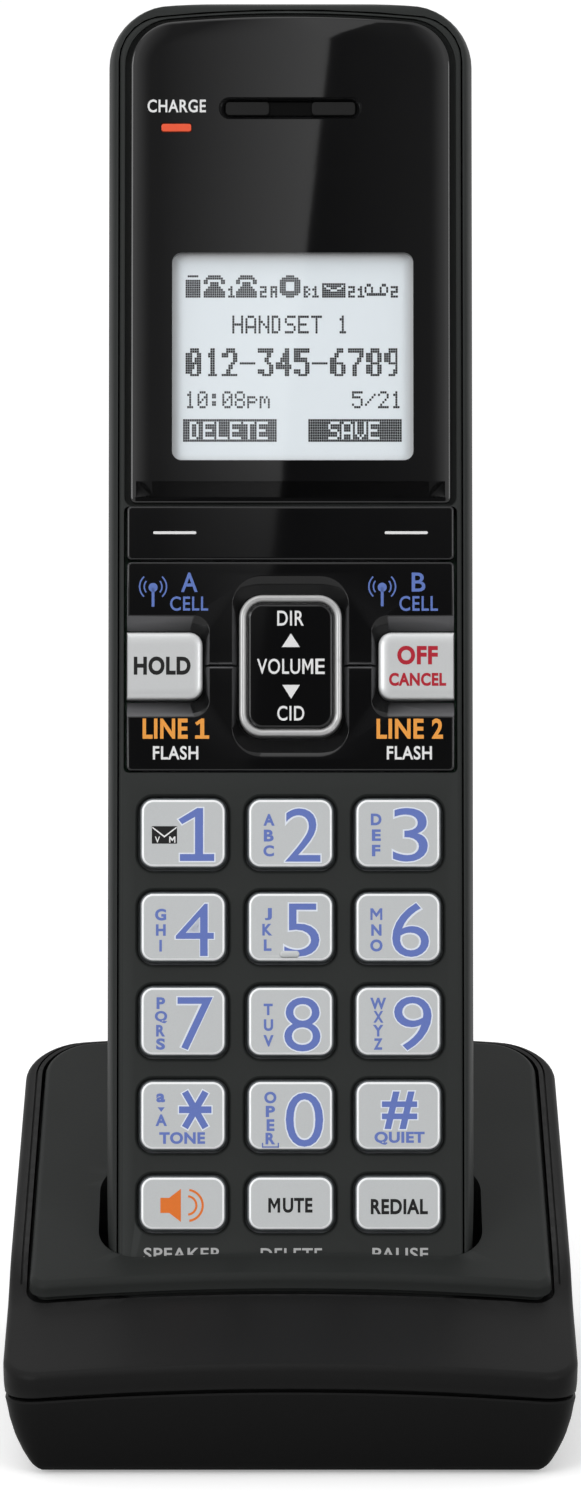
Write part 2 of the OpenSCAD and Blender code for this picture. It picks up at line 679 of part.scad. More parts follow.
// Pan-head screw along Y with its head towards the back
module handset_screw(x, z) {
    bore(x, z, 1, 5, bay_floor_y + 1.8);
    difference() {
        bore(x, z, 2.2, bay_floor_y + 1.75, bay_floor_y + 3.1);
        for (a = [0, 90])
            translate([x, bay_floor_y + 3.1, z]) rotate([0, a, 0]) cube([2.4, 1.4, 0.5], center = true);
    }
}

module handset_screws() color(steel) seated() for (s = [-1, 1]) {
    handset_screw(s*screw_low_x, screw_low_z);
    handset_screw(s*screw_high_x, screw_high_z);
}

// ---------- cradle ----------

// Straight well along the handset's axis, grown outwards by a wall
module well(grow, z0, z1) {
    d = foot_t + 2*pocket_gap;
    seated() translate([0, foot_t/2, z0]) linear_extrude(z1 - z0)
        polygon(round_box(handset_w + 2*pocket_gap + 2*grow, d + 2*grow, pocket_r + grow, 8));
}

module cradle_top_shell() color(satin_black) difference() {
    union() {
        in_cradle() difference() {
            loft([at_parting(cradle_plan(0.35), 0), at_parting(cradle_plan(0.05), 1.4),
                on_roof(cradle_plan(0), -1.1), on_roof(cradle_plan(0.25), -0.3),
                on_roof(cradle_plan(0.8), 0), on_roof(shrink(cradle_plan(0.8), 0.6), 0),
                on_roof(shrink(cradle_plan(0.8), 0.25), 0)]);
            loft([at_level(cradle_plan(cradle_wall), 5),
                on_roof(cradle_plan(cradle_wall), -cradle_wall - 0.3),
                on_roof(shrink(cradle_plan(cradle_wall), 0.6), -cradle_wall - 0.3),
                on_roof(shrink(cradle_plan(cradle_wall), 0.25), -cradle_wall - 0.3)]);
        }
        // Screw posts
        in_cradle() for (s = [-1, 1]) {
            translate([s*post_x, post_front, boss_top + 0.1])
                cylinder(r = 3, h = roof_z(post_x, post_front, -cradle_wall) - boss_top + 0.6, $fn = 48);
            translate([s*(post_x - 1.5), post_rear, boss_top + 0.1])
                cylinder(r = 3, h = roof_z(post_x, post_rear, -cradle_wall) - boss_top + 0.6, $fn = 48);
        }
    }
    // Seat of the deck
    in_cradle() loft([on_roof(deck_plan(-0.25), -deck_sink), on_roof(deck_plan(-0.25), 4)]);
    // Passage for the pocket
    well(pocket_wall + 0.3, -12, 60);
    // Inlet in the rear wall
    in_cradle() translate([0, cradle_d - 9, jack_z]) rotate([-90, 0, 0]) cylinder(r = 4.1, h = 12, $fn = 48);
    in_cradle() for (s = [-1, 1]) {
        translate([s*post_x, post_front, 0]) cylinder(r = 1.2, h = 14, $fn = 32);
        translate([s*(post_x - 1.5), post_rear, 0]) cylinder(r = 1.2, h = 14, $fn = 32);
    }
}

module cradle_deck() color(charcoal) difference() {
    union() {
        in_cradle() loft([on_roof(deck_plan(0), -deck_sink + 0.02), on_roof(deck_plan(0.05), deck_rise - 0.9),
            on_roof(deck_plan(0.3), deck_rise - 0.3), on_roof(deck_plan(deck_edge), deck_rise),
            on_roof(shrink(deck_plan(deck_edge), 0.6), deck_rise),
            on_roof(shrink(deck_plan(deck_edge), 0.25), deck_rise)]);
        // Pocket walls below the deck
        difference() {
            well(pocket_wall, -seat_gap - pocket_floor, 60);
            in_cradle() translate([-60, 0, edge_z + 0.4]) rotate([slope, 0, 0]) cube([120, 120, 80]);
        }
    }
    well(0, -seat_gap, 80);
    // Slots for the charge contacts
    seated() for (s = [-1, 1])
        translate([s*contact_x, contact_y, -8]) cylinder(r = contact_r + 0.5, h = 12, $fn = 32);
}

module cradle_base_tray() color(satin_black) in_cradle() difference() {
    union() {
        difference() {
            loft([at_level(cradle_plan(4.6), foot_h + 0.3), at_level(cradle_plan(3.8), 1.4),
                at_level(cradle_plan(3), 2.5), at_level(cradle_plan(2.2), 3.9),
                at_level(cradle_plan(1.5), 5.4), at_level(cradle_plan(0.9), 7.6),
                at_parting(cradle_plan(0.5), -0.35)]);
            loft([at_level(cradle_plan(4.8), tray_floor_z), at_level(cradle_plan(4), 5),
                at_level(cradle_plan(3.5), 8), at_level(cradle_plan(3.5), 20)]);
        }
        // Tongue that locates the top shell, lower where the inlet's jack sits over it
        difference() {
            loft([at_level(cradle_plan(cradle_wall + 0.25), 7.6),
                at_parting(cradle_plan(cradle_wall + 0.25), 0.9)]);
            translate([0, 0, 7]) linear_extrude(8) polygon(cradle_plan(3.5));
            translate([-5, cradle_d - 6, charger_z + 1.2]) cube([10, 6, 8]);
        }
        for (s = [-1, 1]) {
            for (p = [[s*post_x, post_front], [s*(post_x - 1.5), post_rear]])
                translate([p.x, p.y, tray_floor_z - 1])
                    cylinder(r = 3.6, h = boss_top - tray_floor_z + 1, $fn = 48);
            // Board posts
            for (y = [cradle_d - 22, cradle_d - 10])
                translate([s*12, y, tray_floor_z - 1])
                    cylinder(r = 2.4, h = charger_z - tray_floor_z + 1, $fn = 32);
        }
    }
    for (s = [-1, 1]) {
        for (p = [[s*post_x, post_front], [s*(post_x - 1.5), post_rear]]) {
            translate([p.x, p.y, -1]) cylinder(r = 2.7, h = head_seat + 1, $fn = 48);
            translate([p.x, p.y, 0]) cylinder(r = 1.4, h = 10, $fn = 32);
        }
        for (y = [foot_inset + 6, cradle_d - foot_inset - 6])
            translate([s*foot_x, y, -1]) cylinder(r = foot_r + 0.1, h = 1 + foot_h + 0.9, $fn = 64);
    }
}

module rubber_feet() color([0.06, 0.06, 0.06]) in_cradle()
    for (s = [-1, 1], y = [foot_inset + 6, cradle_d - foot_inset - 6])
        translate([s*foot_x, y, 0]) cylinder(r = foot_r, h = foot_h + 0.9, $fn = 64);

// Spring contact pressed down by the handset
module charge_contact(s) seated() translate([s*contact_x, contact_y, 0]) {
    translate([0, 0, -6.6]) cylinder(r = contact_r, h = 6.5, $fn = 48);
    translate([0, 0, -0.6]) cylinder(r1 = contact_r, r2 = 0.5, h = 0.55, $fn = 48);
}

module charge_contact_left() color(contact_gold) charge_contact(-1);

module charge_contact_right() color(contact_gold) charge_contact(1);

module contact_holder() color([0.15, 0.15, 0.16]) seated() difference() {
    translate([-19, contact_y - 3.2, -6]) cube([38, 6.4, 6 - seat_gap - pocket_floor - 0.1]);
    for (s = [-1, 1]) translate([s*contact_x, contact_y, -9])
        cylinder(r = contact_r + contact_fit, h = 12, $fn = 48);
}

module charger_board() color(board_green) in_cradle() difference() {
    union() {
        translate([-16, cradle_d - 26, charger_z + 0.05]) cube([32, 22, 1.4]);
        // Regulator and capacitor
        translate([-11, cradle_d - 22, charger_z + 1.4]) cube([5, 4, 2]);
        translate([9, cradle_d - 17, charger_z + 1.4]) cylinder(r = 3, h = 7, $fn = 32);
    }
}

module dc_jack() color(gloss_black) in_cradle() {
    difference() {
        translate([-4.5, cradle_d - 14, charger_z + 1.5]) cube([9, 14 - cradle_wall - 0.3, 11]);
        translate([0, cradle_d - 12, jack_z]) rotate([-90, 0, 0]) cylinder(r = 2.75, h = 20, $fn = 48);
    }
    translate([0, cradle_d - 12.5, jack_z]) rotate([-90, 0, 0]) cylinder(r = 0.95, h = 9, $fn = 32);
}

// Pan-head screw pointing up from the tray
module cradle_screw(p) translate([p.x, p.y, 0]) {
    translate([0, 0, head_seat - 0.05]) cylinder(r = 1.15, h = 8, $fn = 32);
    difference() {
        translate([0, 0, head_seat - 1.5]) cylinder(r = 2.4, h = 1.5, $fn = 48);
        for (a = [0, 90])
            translate([0, 0, head_seat - 1.5]) rotate([0, 0, a]) cube([2.6, 0.5, 1.4], center = true);
    }
}

module cradle_screws() color(steel) in_cradle() for (s = [-1, 1]) {
    cradle_screw([s*post_x, post_front]);
    cradle_screw([s*(post_x - 1.5), post_rear]);
}

handset_front_shell();
handset_rear_shell();
face_lens();
lcd_module();
earpiece_speaker();
charge_light_pipe();
softkey_bar();
cell_key_plate();
line_key_plate();
hold_key();
off_key();
nav_ring();
nav_cap();
key_1();
key_2();
key_3();
key_4();
key_5();
key_6();
key_7();
key_8();
key_9();
key_star();
key_0();
key_pound();
key_speaker();
key_mute();
key_redial();
keypad_mat();
handset_circuit_board();
loudspeaker();
microphone();
battery_pack();
battery_cover();
handset_charge_plates();
handset_screws();
cradle_top_shell();
cradle_deck();
cradle_base_tray();
rubber_feet();
charge_contact_left();
charge_contact_right();
contact_holder();
charger_board();
dc_jack();
cradle_screws();
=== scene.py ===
import math
import bpy
import bmesh
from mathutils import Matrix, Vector, geometry


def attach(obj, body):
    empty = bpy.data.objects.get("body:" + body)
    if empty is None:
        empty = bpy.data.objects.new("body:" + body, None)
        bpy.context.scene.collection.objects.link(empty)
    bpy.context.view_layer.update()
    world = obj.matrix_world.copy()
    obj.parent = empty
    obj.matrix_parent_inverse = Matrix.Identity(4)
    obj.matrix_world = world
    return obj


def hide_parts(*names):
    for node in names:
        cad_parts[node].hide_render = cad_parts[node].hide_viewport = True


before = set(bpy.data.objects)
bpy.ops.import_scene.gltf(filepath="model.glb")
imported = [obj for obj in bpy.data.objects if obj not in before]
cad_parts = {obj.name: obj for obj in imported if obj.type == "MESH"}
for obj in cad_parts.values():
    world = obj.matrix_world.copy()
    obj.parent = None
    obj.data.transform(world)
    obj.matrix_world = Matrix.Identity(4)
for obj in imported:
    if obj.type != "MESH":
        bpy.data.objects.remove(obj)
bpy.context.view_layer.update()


# === Rear shell of the handset ===
# Moulded in charcoal plastic with a fine spark texture. It is thin at the foot,
# fuller over the two cells and slim behind the earpiece; four screws hold it.

lean = math.radians(18)
seat_y, seat_z = -27.5186, 12.3183
handset_w, handset_len = 50.0, 185.0
foot_t, handset_t, head_t = 18.0, 25.5, 20.5
side_y, edge_in, rim_y = 7.0, 1.2, 0.3
fullness = 0.62
foot_r, corner_r, arch_r = 4.4, 7.8, 180.0
foot_round, head_round = 2.5, 7.0


def stand(x, y, z):
    """Handset millimetres (x right, y inwards, z up its length) to where it stands, in metres."""
    return (x/1000, (seat_y + y*math.cos(lean) + z*math.sin(lean))/1000,
            (seat_z - y*math.sin(lean) + z*math.cos(lean))/1000)


def step(a, b, x):
    u = max(0.0, min(1.0, (x - a)/(b - a)))
    return u*u*(3 - 2*u)


arch_z = handset_len - arch_r
corner_x = handset_w/2 - corner_r
corner_z = arch_z + math.sqrt((arch_r - corner_r)**2 - corner_x**2)
corner_a = math.atan2(corner_z - arch_z, corner_x)


def half_width(z, inset=0.0):
    """Half the handset's width at a height, moved in by inset."""
    low, top = foot_r - inset, corner_r - inset
    if z < foot_r:
        return handset_w/2 - foot_r + math.sqrt(max(0.0, low*low - (foot_r - z)**2))
    if z <= corner_z:
        return handset_w/2 - inset
    if z <= corner_z + top*math.sin(corner_a):
        return corner_x + math.sqrt(max(0.0, top*top - (z - corner_z)**2))
    return math.sqrt(max(0.0, (arch_r - inset)**2 - (z - arch_z)**2))


def back(z):
    """Depth of the handset's back at a height."""
    plain = foot_t + (handset_t - foot_t)*step(30, 60, z) - (handset_t - head_t)*step(115, handset_len - 5, z) - 0.06
    if z < foot_round:
        return plain - foot_round + math.sqrt(foot_round**2 - (foot_round - z)**2)
    if z > handset_len - head_round:
        u = (z - handset_len + head_round)/head_round
        return side_y + (plain - side_y)*math.sqrt(max(0.0, 1 - u*u))
    return plain


def front_rim(z):
    """Depth of the shell's front edge at a height."""
    if z < edge_in:
        return rim_y + edge_in - math.sqrt(edge_in**2 - (edge_in - z)**2)
    if z > handset_len - edge_in:
        u = (z - handset_len + edge_in)/edge_in
        return side_y - (side_y - rim_y - 0.05)*math.sqrt(max(0.0, 1 - u*u))
    return rim_y


def shell_ring(z, wall=0.0, wall_back=0.0, open_front=False):
    """One cross section of the shell, round from the right front edge to the left one."""
    taper = 0.0 if open_front else 0.4*(1 - step(0, 24, z))
    w = half_width(z, wall) - taper
    depth = back(z) - wall_back
    right = []
    if open_front:
        right.append((w, -1.0))
    else:
        e, f = min(edge_in, w/2), front_rim(z)
        for a in (90, 75, 60, 45, 30, 15):
            t = math.radians(a)
            right.append((w - e + e*math.cos(t), side_y - (side_y - f)*math.sin(t)))
    for k in range(22):
        t = math.radians(k*90/22)
        right.append((w*math.cos(t)**fullness, side_y + (depth - side_y)*math.sin(t)**fullness))
    left = [(-x, y) for x, y in reversed(right)]
    return [stand(x, y, z) for x, y in right + [(0.0, depth)] + left]


def placed(name, data):
    """New object linked into the scene."""
    piece = bpy.data.objects.new(name, data)
    bpy.context.scene.collection.objects.link(piece)
    return piece


def final_mesh(piece):
    """Mesh of a curve, or of an object with its modifiers."""
    bpy.context.view_layer.update()
    return bpy.data.meshes.new_from_object(piece.evaluated_get(bpy.context.evaluated_depsgraph_get()))


def solid(name, points, faces, crease=35):
    """Mesh object with even shading that is broken where faces meet at more than crease degrees."""
    mesh = bpy.data.meshes.new(name)
    mesh.from_pydata(points, [], faces)
    mesh.validate()
    bm = bmesh.new()
    bm.from_mesh(mesh)
    bmesh.ops.remove_doubles(bm, verts=bm.verts, dist=1e-7)
    bmesh.ops.recalc_face_normals(bm, faces=bm.faces)
    bm.to_mesh(mesh)
    bm.free()
    piece = placed(name, mesh)
    shade(piece, crease)
    return piece


def shade(piece, crease=35):
    piece.data.shade_smooth()
    piece.data.set_sharp_from_angle(angle=math.radians(crease))


def loft(name, rings, crease=35):
    """Solid with a skin over rings that have the same number of points, capped at both ends."""
    n = len(rings[0])
    faces = []
    for j in range(len(rings) - 1):
        a, b = j*n, (j + 1)*n
        faces += [(a + i, a + (i + 1) % n, b + (i + 1) % n, b + i) for i in range(n)]
    faces.append(tuple(range(n - 1, -1, -1)))
    faces.append(tuple((len(rings) - 1)*n + i for i in range(n)))
    return solid(name, [p for ring in rings for p in ring], faces, crease)


def cut(piece, tool, operation="DIFFERENCE", crease=35):
    """Cuts the tool's shape out of the piece and uses the tool up."""
    knife = piece.modifiers.new("cut", "BOOLEAN")
    knife.operation, knife.object, knife.solver = operation, tool, "EXACT"
    mesh = final_mesh(piece)
    piece.modifiers.clear()
    piece.data = mesh
    bpy.data.objects.remove(tool)
    shade(piece, crease)


def rounded(cx, cz, w, h, r, n=8):
    """Outline of a rounded box about a middle."""
    points = []
    for k, (sx, sz) in enumerate([(1, 1), (-1, 1), (-1, -1), (1, -1)]):
        for i in range(n + 1):
            a = math.radians(90*k + 90*i/n)
            points.append((cx + sx*(w/2 - r) + r*math.cos(a), cz + sz*(h/2 - r) + r*math.sin(a)))
    return points


def inset_box(cx, cz, w, h, r, n=8):
    """Outline of a rounded box as a function of how far it is moved in."""
    return lambda inset: rounded(cx, cz, w - 2*inset, h - 2*inset, r - inset, n)


def disc(cx, cz, r, n=32, turn=0.0):
    """Outline of a circle with n points, the first of them turned by a part of one step."""
    return [(cx + r*math.cos(2*math.pi*(i + turn)/n), cz + r*math.sin(2*math.pi*(i + turn)/n)) for i in range(n)]


def block(name, outline, y0, y1):
    """Straight block of the handset between two depths."""
    return loft(name, [[stand(x, y, z) for x, z in outline] for y in (y0, y1)])


def tube(name, x, z, r, y0, y1, n=40):
    return block(name, disc(x, z, r, n), y0, y1)


def side_prism(name, profile, half):
    """Block across the handset, half a width to each side, from a profile of depth and height."""
    return loft(name, [[stand(x, y, z) for y, z in profile] for x in (-half, half)])


def material_tree(name, bare=False):
    """New material and its node tree; a bare one has no surface shader yet."""
    material = bpy.data.materials.new(name)
    material.use_nodes = True
    tree = material.node_tree
    if bare:
        tree.nodes.remove(tree.nodes["Principled BSDF"])
    return material, tree


def wire(tree, node, inputs):
    """Sets each named input of a node to a value, or links it to another node's socket."""
    for key, value in inputs.items():
        if isinstance(value, bpy.types.NodeSocket):
            tree.links.new(value, node.inputs[key])
        else:
            node.inputs[key].default_value = value
    return node


def add(tree, kind, inputs=None, **settings):
    """New shader node with its settings and inputs."""
    node = tree.nodes.new("ShaderNode" + kind)
    for key, value in settings.items():
        setattr(node, key, value)
    return wire(tree, node, inputs or {})


def ramp(tree, value, start, end, low=0.0, high=1.0):
    """Socket that runs from low to high while the value runs from start to end."""
    limits = {"From Min": start, "From Max": end, "To Min": low, "To Max": high}
    return add(tree, "MapRange", {"Value": value, **limits}).outputs["Result"]


def blend(tree, factor, a, b):
    """Socket with a mix of two colours."""
    return add(tree, "Mix", {"Factor": factor, "A": a, "B": b}, data_type="RGBA").outputs["Result"]


def plastic(name, colour, roughness, grain=0.0004, depth=0.00002, speck=0.05, coat=0.0, metallic=0.0, wear=0.0,
            wear_and_sheen_colour=(0.3, 0.3, 0.3), specular=0.5):
    """Moulded or painted finish: fine grain, small changes of tone and gloss, and edges made a little lighter, partly
    by wear and partly by a painted highlight.
    """
    material, tree = material_tree(name)
    place = add(tree, "TexCoord").outputs["Object"]
    fine = add(tree, "TexNoise", {"Vector": place, "Scale": 1/grain, "Detail": 3}).outputs["Fac"]
    broad = add(tree, "TexNoise", {"Vector": place, "Scale": 60, "Detail": 4}).outputs["Fac"]
    dark, light = (*[c*(1 - speck) for c in colour], 1), (*[min(1, c*(1 + speck)) for c in colour], 1)
    tone = blend(tree, fine, dark, light)
    # Lighter edges: partly wear, partly a painted highlight where rounded edges would catch the light
    if wear:
        edges = add(tree, "NewGeometry").outputs["Pointiness"]
        tone = blend(tree, ramp(tree, edges, 0.52, 0.62, 0.0, wear), tone, (*wear_and_sheen_colour, 1))
    gloss = ramp(tree, broad, 0.0, 1.0, roughness*0.88, roughness*1.12)
    bump = add(tree, "Bump", {"Height": fine, "Strength": 0.5, "Distance": depth})
    wire(tree, tree.nodes["Principled BSDF"], {
        "Base Color": tone, "Roughness": gloss, "Normal": bump.outputs["Normal"],
        "Metallic": metallic, "Coat Weight": coat, "Specular IOR Level": specular})
    return material


def finish(piece, material, body, *nodes):
    """Paints a piece, makes it ride on its body and lets it stand for its CAD nodes."""
    piece.data.materials.clear()
    piece.data.materials.append(material)
    even = piece.modifiers.new("even_shading", "WEIGHTED_NORMAL")
    even.keep_sharp = True
    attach(piece, body)
    if nodes:
        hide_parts(*nodes)


charcoal = (0.0225, 0.0245, 0.0235)
charcoal_plastic = plastic("charcoal_plastic", charcoal, 0.5, wear=0.25, wear_and_sheen_colour=(0.075, 0.08, 0.08), specular=0.12)

heights = [0, 0.15, 0.4, 0.8, 1.2, 1.8, 2.5, 3.4, 4.4] + [4.4 + 2.2*i for i in range(1, 26)]
heights += [60 + 5*i for i in range(1, 12)] + [118 + (corner_z - 118)*i/22 for i in range(1, 23)]
heights += [corner_z + corner_r*math.sin(math.radians(a)) for a in range(8, 82, 8)]
heights += [handset_len - d for d in (0.8, 0.6, 0.45, 0.3, 0.2, 0.12, 0.06, 0.02)]
hollow_heights = [1.4, 1.6, 2.1, 3, 4.4, 24, 31, 38, 45, 52, 60, 118] + [118 + (corner_z - 118)*i/3 for i in (1, 2, 3)]
hollow_heights += [corner_z + 6.4*math.sin(math.radians(a)) for a in (16, 32, 48, 64, 80)] + [183.2, 183.55]
shell_wall, back_wall = 1.4, 1.8

rear_shell = loft("rear_shell", [shell_ring(z) for z in sorted(heights)])
hollow = loft("hollow", [shell_ring(z, shell_wall, back_wall, True) for z in hollow_heights])

# Battery bay, screw tubes and the ring round the loudspeaker stay in the hollow
bay_floor, bay_wall, cover_w, cover_z, cover_len, ledge_y = 9.8, 1.2, 32.0, 62.0, 54.0, 21.4
low_screw, high_screw = (17.5, 7.0), (18.5, 160.5)
contact_x = 15.0
speaker_z, speaker_r = 141.0, 9.5
cut(hollow, block("bay", rounded(0, cover_z - 1 + (cover_len + 6)/2, cover_w + 2*bay_wall, cover_len + 6, 0.3),
                  bay_floor, 40))
for side in (-1, 1):
    for x, z in (low_screw, high_screw):
        cut(hollow, tube("post", side*x, z, 3.6, bay_floor + 0.5, 40))
ring = tube("ring", 0, speaker_z, speaker_r + 1.5, back(speaker_z) - 7, 40)
cut(ring, tube("ring_hole", 0, speaker_z, speaker_r + 0.3, 0, back(speaker_z) - back_wall))
cut(hollow, ring)
cut(rear_shell, hollow)


def cover_path(grow):
    """Slanted block along which the battery cover slides out."""
    low = cover_z + handset_t - ledge_y - grow*math.sqrt(2)
    high = low + cover_len + 2*grow*math.sqrt(2)
    return [(ledge_y, low), (ledge_y + 13, low - 13), (ledge_y + 13, high - 13), (ledge_y, high)]


cut(rear_shell, side_prism("cover_opening", cover_path(0.25), cover_w/2 + 0.25))
cut(rear_shell, block("bay_inside", rounded(0, cover_z + 4 + (cover_len - 5)/2, cover_w - 2, cover_len - 5, 1),
                      bay_floor + bay_wall, 45))
sound_pitch, sound_w, sound_h = 2.9, 14.0, 1.3
for i in range(-2, 3):
    sound_slot = rounded(0, speaker_z + i*sound_pitch, sound_w - abs(i)*2.4, sound_h, 0.6)
    cut(rear_shell, block("sound_slot", sound_slot, side_y + 8, 40))
for side in (-1, 1):
    for x, z in (low_screw, high_screw):
        cut(rear_shell, tube("counterbore", side*x, z, 2.5, bay_floor + 1.7, 40))
        cut(rear_shell, tube("clearance", side*x, z, 1.3, bay_floor, 40))
    cut(rear_shell, block("contact_seat", rounded(side*contact_x, 0.05, 5.2, 1.0, 0.1), 3.6, 8.4))
finish(rear_shell, charcoal_plastic, "handset", "handset_rear_shell")


# === Battery cover ===
# Same plastic as the rear shell, with a hairline seam round it and four thumb
# ridges at its lower end. It slides down and out.

cover = loft("battery_cover_skin", [shell_ring(z) for z in sorted(heights) if 50 < z < 132])
cut(cover, side_prism("cover_shape", cover_path(0.0), cover_w/2), "INTERSECT")
cut(cover, loft("cover_inside", [shell_ring(z, shell_wall, back_wall, True) for z in (48, 52, 60, 118, 126, 134)]))
ridge_pitch, ridge_r, ridge_half = 2.4, 0.8, 7.0
for i in range(4):
    cut(cover, side_prism("ridge", disc(handset_t + 0.35, cover_z + 4 + i*ridge_pitch, ridge_r, 24), ridge_half))
finish(cover, charcoal_plastic, "battery_cover", "battery_cover")


# === Front shell of the handset ===
# Flat charcoal plate with a soft rim that sits inside the rear shell, so a dark
# seam runs round it. Fifteen key holes are cut through it.


def arched(w, z0, z1, low, top, inset=0.0, n=14):
    """Outline with an arched top and rounded corners, moved in by inset."""
    cx, az = w/2 - top, z1 - arch_r
    cz = az + math.sqrt((arch_r - top)**2 - cx*cx)
    ca = math.atan2(cz - az, cx)

    def arc(x, z, r, a0, a1, count):
        return [(x + r*math.cos(a0 + (a1 - a0)*i/count), z + r*math.sin(a0 + (a1 - a0)*i/count))
                for i in range(count + 1)]

    quarter = math.pi/2
    points = arc(w/2 - low, z0 + low, low - inset, -quarter, 0, n)
    points += arc(cx, cz, top - inset, 0, ca, n)
    points += arc(0, az, arch_r - inset, ca, math.pi - ca, n)[1:-1]
    points += arc(-cx, cz, top - inset, math.pi - ca, math.pi, n)
    points += arc(low - w/2, z0 + low, low - inset, math.pi, 3*quarter, n)
    return points


def pressed(name, outline, layers, crease=35):
    """Block of the handset whose outline(inset) changes with depth; layers are inset and depth."""
    return loft(name, [[stand(x, y, z) for x, z in outline(inset)] for inset, y in layers], crease)


front_inset, plate_t = 1.6, 1.8
lens_w, lens_z, lens_top, lens_gap, floor_y = 43.8, 115.3, 182.6, 0.45, 1.3
panel_w, panel_z, panel_h = 44.6, 78.6, 28.6
window_x, window_z, window_w, window_h = 0.3, 135.5, 33.0, 28.6
slot_z, slot_w, slot_h = 169.8, 19.6, 3.0
light_x, light_z = -15.65, 167.1
key_w, key_h, low_key_h, key_r = 11.7, 9.5, 7.4, 1.8
columns, low_row = (-14.6, 0.0, 14.6), 19.7
digit_rows = [31.6 + 12.8*i for i in range(4)]


def front_outline(inset):
    return arched(handset_w, 0, handset_len, foot_r, corner_r, front_inset + inset)


front_shell = pressed("front_shell", front_outline,
                      [(0.62, 0), (0.4, 0.04), (0.2, 0.14), (0.06, 0.3), (0, 0.5), (0, 5.5)])
inner = pressed("inner", front_outline, [(1.4, plate_t), (1.4, 7)])
cut(inner, block("lens_floor", rounded(0, 149.9, 60, 70, 0.5), 1.0, 2.8))
cut(front_shell, inner)
lens_seat = arched(lens_w + 1.6, lens_z - lens_gap, lens_top + lens_gap, 1.3, 6.7)
cut(front_shell, block("lens_seat", lens_seat, -1, floor_y))
seat_end = lens_z - lens_gap
for outline, y0, y1 in [
        (rounded(window_x, window_z, window_w + 1, window_h + 1, 1.2), 0, 9),
        (rounded(0, slot_z, slot_w + 0.6, slot_h + 0.6, 1.7), 0, 2.0),
        (rounded(0, slot_z, 5.4, slot_h - 0.8, 0.8), 0, 9),
        (rounded(light_x, light_z, 4.5, 1.5, 0.5), 0, 9),
        (rounded(0, (panel_z + seat_end)/2 - 0.125, panel_w + 0.9, seat_end - panel_z + 0.25, 0.7), -1, 9)]:
    cut(front_shell, block("opening", outline, y0, y1))
for x in columns:
    for z, h in [(z, key_h) for z in digit_rows] + [(low_row, low_key_h)]:
        cut(front_shell, pressed("key_hole", inset_box(x, z, key_w + 0.6, h + 0.6, key_r + 0.3),
                                 [(-0.55, -0.05), (-0.38, 0.02), (-0.2, 0.12), (-0.06, 0.3), (0, 0.5), (0, 4)]))
microphone_z, microphone_r = 8.0, 0.6
cut(front_shell, tube("microphone_hole", 0, microphone_z, microphone_r, -1, 9, 24))
finish(front_shell, charcoal_plastic, "handset", "handset_front_shell")


# === Lettering on the front shell ===
# Pale pad print below the lowest keys, mostly hidden by the pocket's lip.


def ink(name, colour, roughness=0.45):
    """Screen print: a matt colour a little uneven in tone."""
    return plastic(name, colour, roughness, 0.0003, 0.000004, 0.04, specular=0.2)


def flat(name, areas, y):
    """Thin flat piece on the handset's face from lists of points and faces."""
    points, faces = [], []
    for some, their in areas:
        faces += [tuple(len(points) + i for i in face) for face in their]
        points += [stand(x, y, z) for x, z in some]
    mesh = bpy.data.meshes.new(name)
    mesh.from_pydata(points, [], faces)
    bm = bmesh.new()
    bm.from_mesh(mesh)
    for face in bm.faces:
        face.normal_update()
        if face.normal.y > 0:
            face.normal_flip()
    bm.to_mesh(mesh)
    bm.free()
    return placed(name, mesh)


def letters(text, box, bold=0.018):
    """Points and faces of a word fitted to a box x0, z0, x1, z1."""
    curve = bpy.data.curves.new("word", "FONT")
    curve.body, curve.offset, curve.resolution_u, curve.space_character = text, bold, 5, 1.08
    word = placed("word", curve)
    mesh = final_mesh(word)
    bpy.data.objects.remove(word)
    low = [min(v.co[i] for v in mesh.vertices) for i in (0, 1)]
    high = [max(v.co[i] for v in mesh.vertices) for i in (0, 1)]
    x0, z0, x1, z1 = box
    points = [(x0 + (v.co.x - low[0])/(high[0] - low[0])*(x1 - x0), z0 + (v.co.y - low[1])/(high[1] - low[1])*(z1 - z0))
              for v in mesh.vertices]
    return points, [tuple(p.vertices) for p in mesh.polygons]


def words(text):
    """Words with their boxes x0 z0 x1 z1, read from a line of text."""
    rows = [part.strip().rsplit(None, 4) for part in text.split(",")]
    return [(row[0], tuple(float(v) for v in row[1:])) for row in rows]


def printing(name, marks, material, body, y, bold=0.018, extra=()):
    """Print on a face: marks are words with their boxes, extra holds drawn signs."""
    piece = flat(name, [letters(text, box, bold) for text, box in marks] + list(extra), y)
    finish(piece, material, body)


def area(*points):
    """A drawn sign's flat polygon."""
    return list(points), [tuple(range(len(points)))]


def grown(points, d):
    """Outline of a drawn sign moved outwards by d."""
    out, n = [], len(points)
    for i in range(n):
        (ax, az), (bx, bz), (cx, cz) = points[i - 1], points[i], points[(i + 1) % n]
        u, v = Vector((bx - ax, bz - az)).normalized(), Vector((cx - bx, cz - bz)).normalized()
        normal = Vector((u.y + v.y, -u.x - v.x)).normalized()
        reach = d/max(0.35, normal.dot(Vector((u.y, -u.x))))
        out.append((bx + normal.x*reach, bz + normal.y*reach))
    return out


def strip(x0, z0, x1, z1):
    return area((x0, z0), (x1, z0), (x1, z1), (x0, z1))


def letter_m(x0, z0, x1, z1, t):
    """Capital M drawn with strokes of width t."""
    cx, low, drop = (x0 + x1)/2, z0 + 0.22*(z1 - z0), 1.9*t
    return area((x0, z0), (x0 + t, z0), (x0 + t, z1 - drop), (cx, low), (x1 - t, z1 - drop), (x1 - t, z0), (x1, z0),
                (x1, z1), (x1 - 1.1*t, z1), (cx, low + drop), (x0 + 1.1*t, z1), (x0, z1))


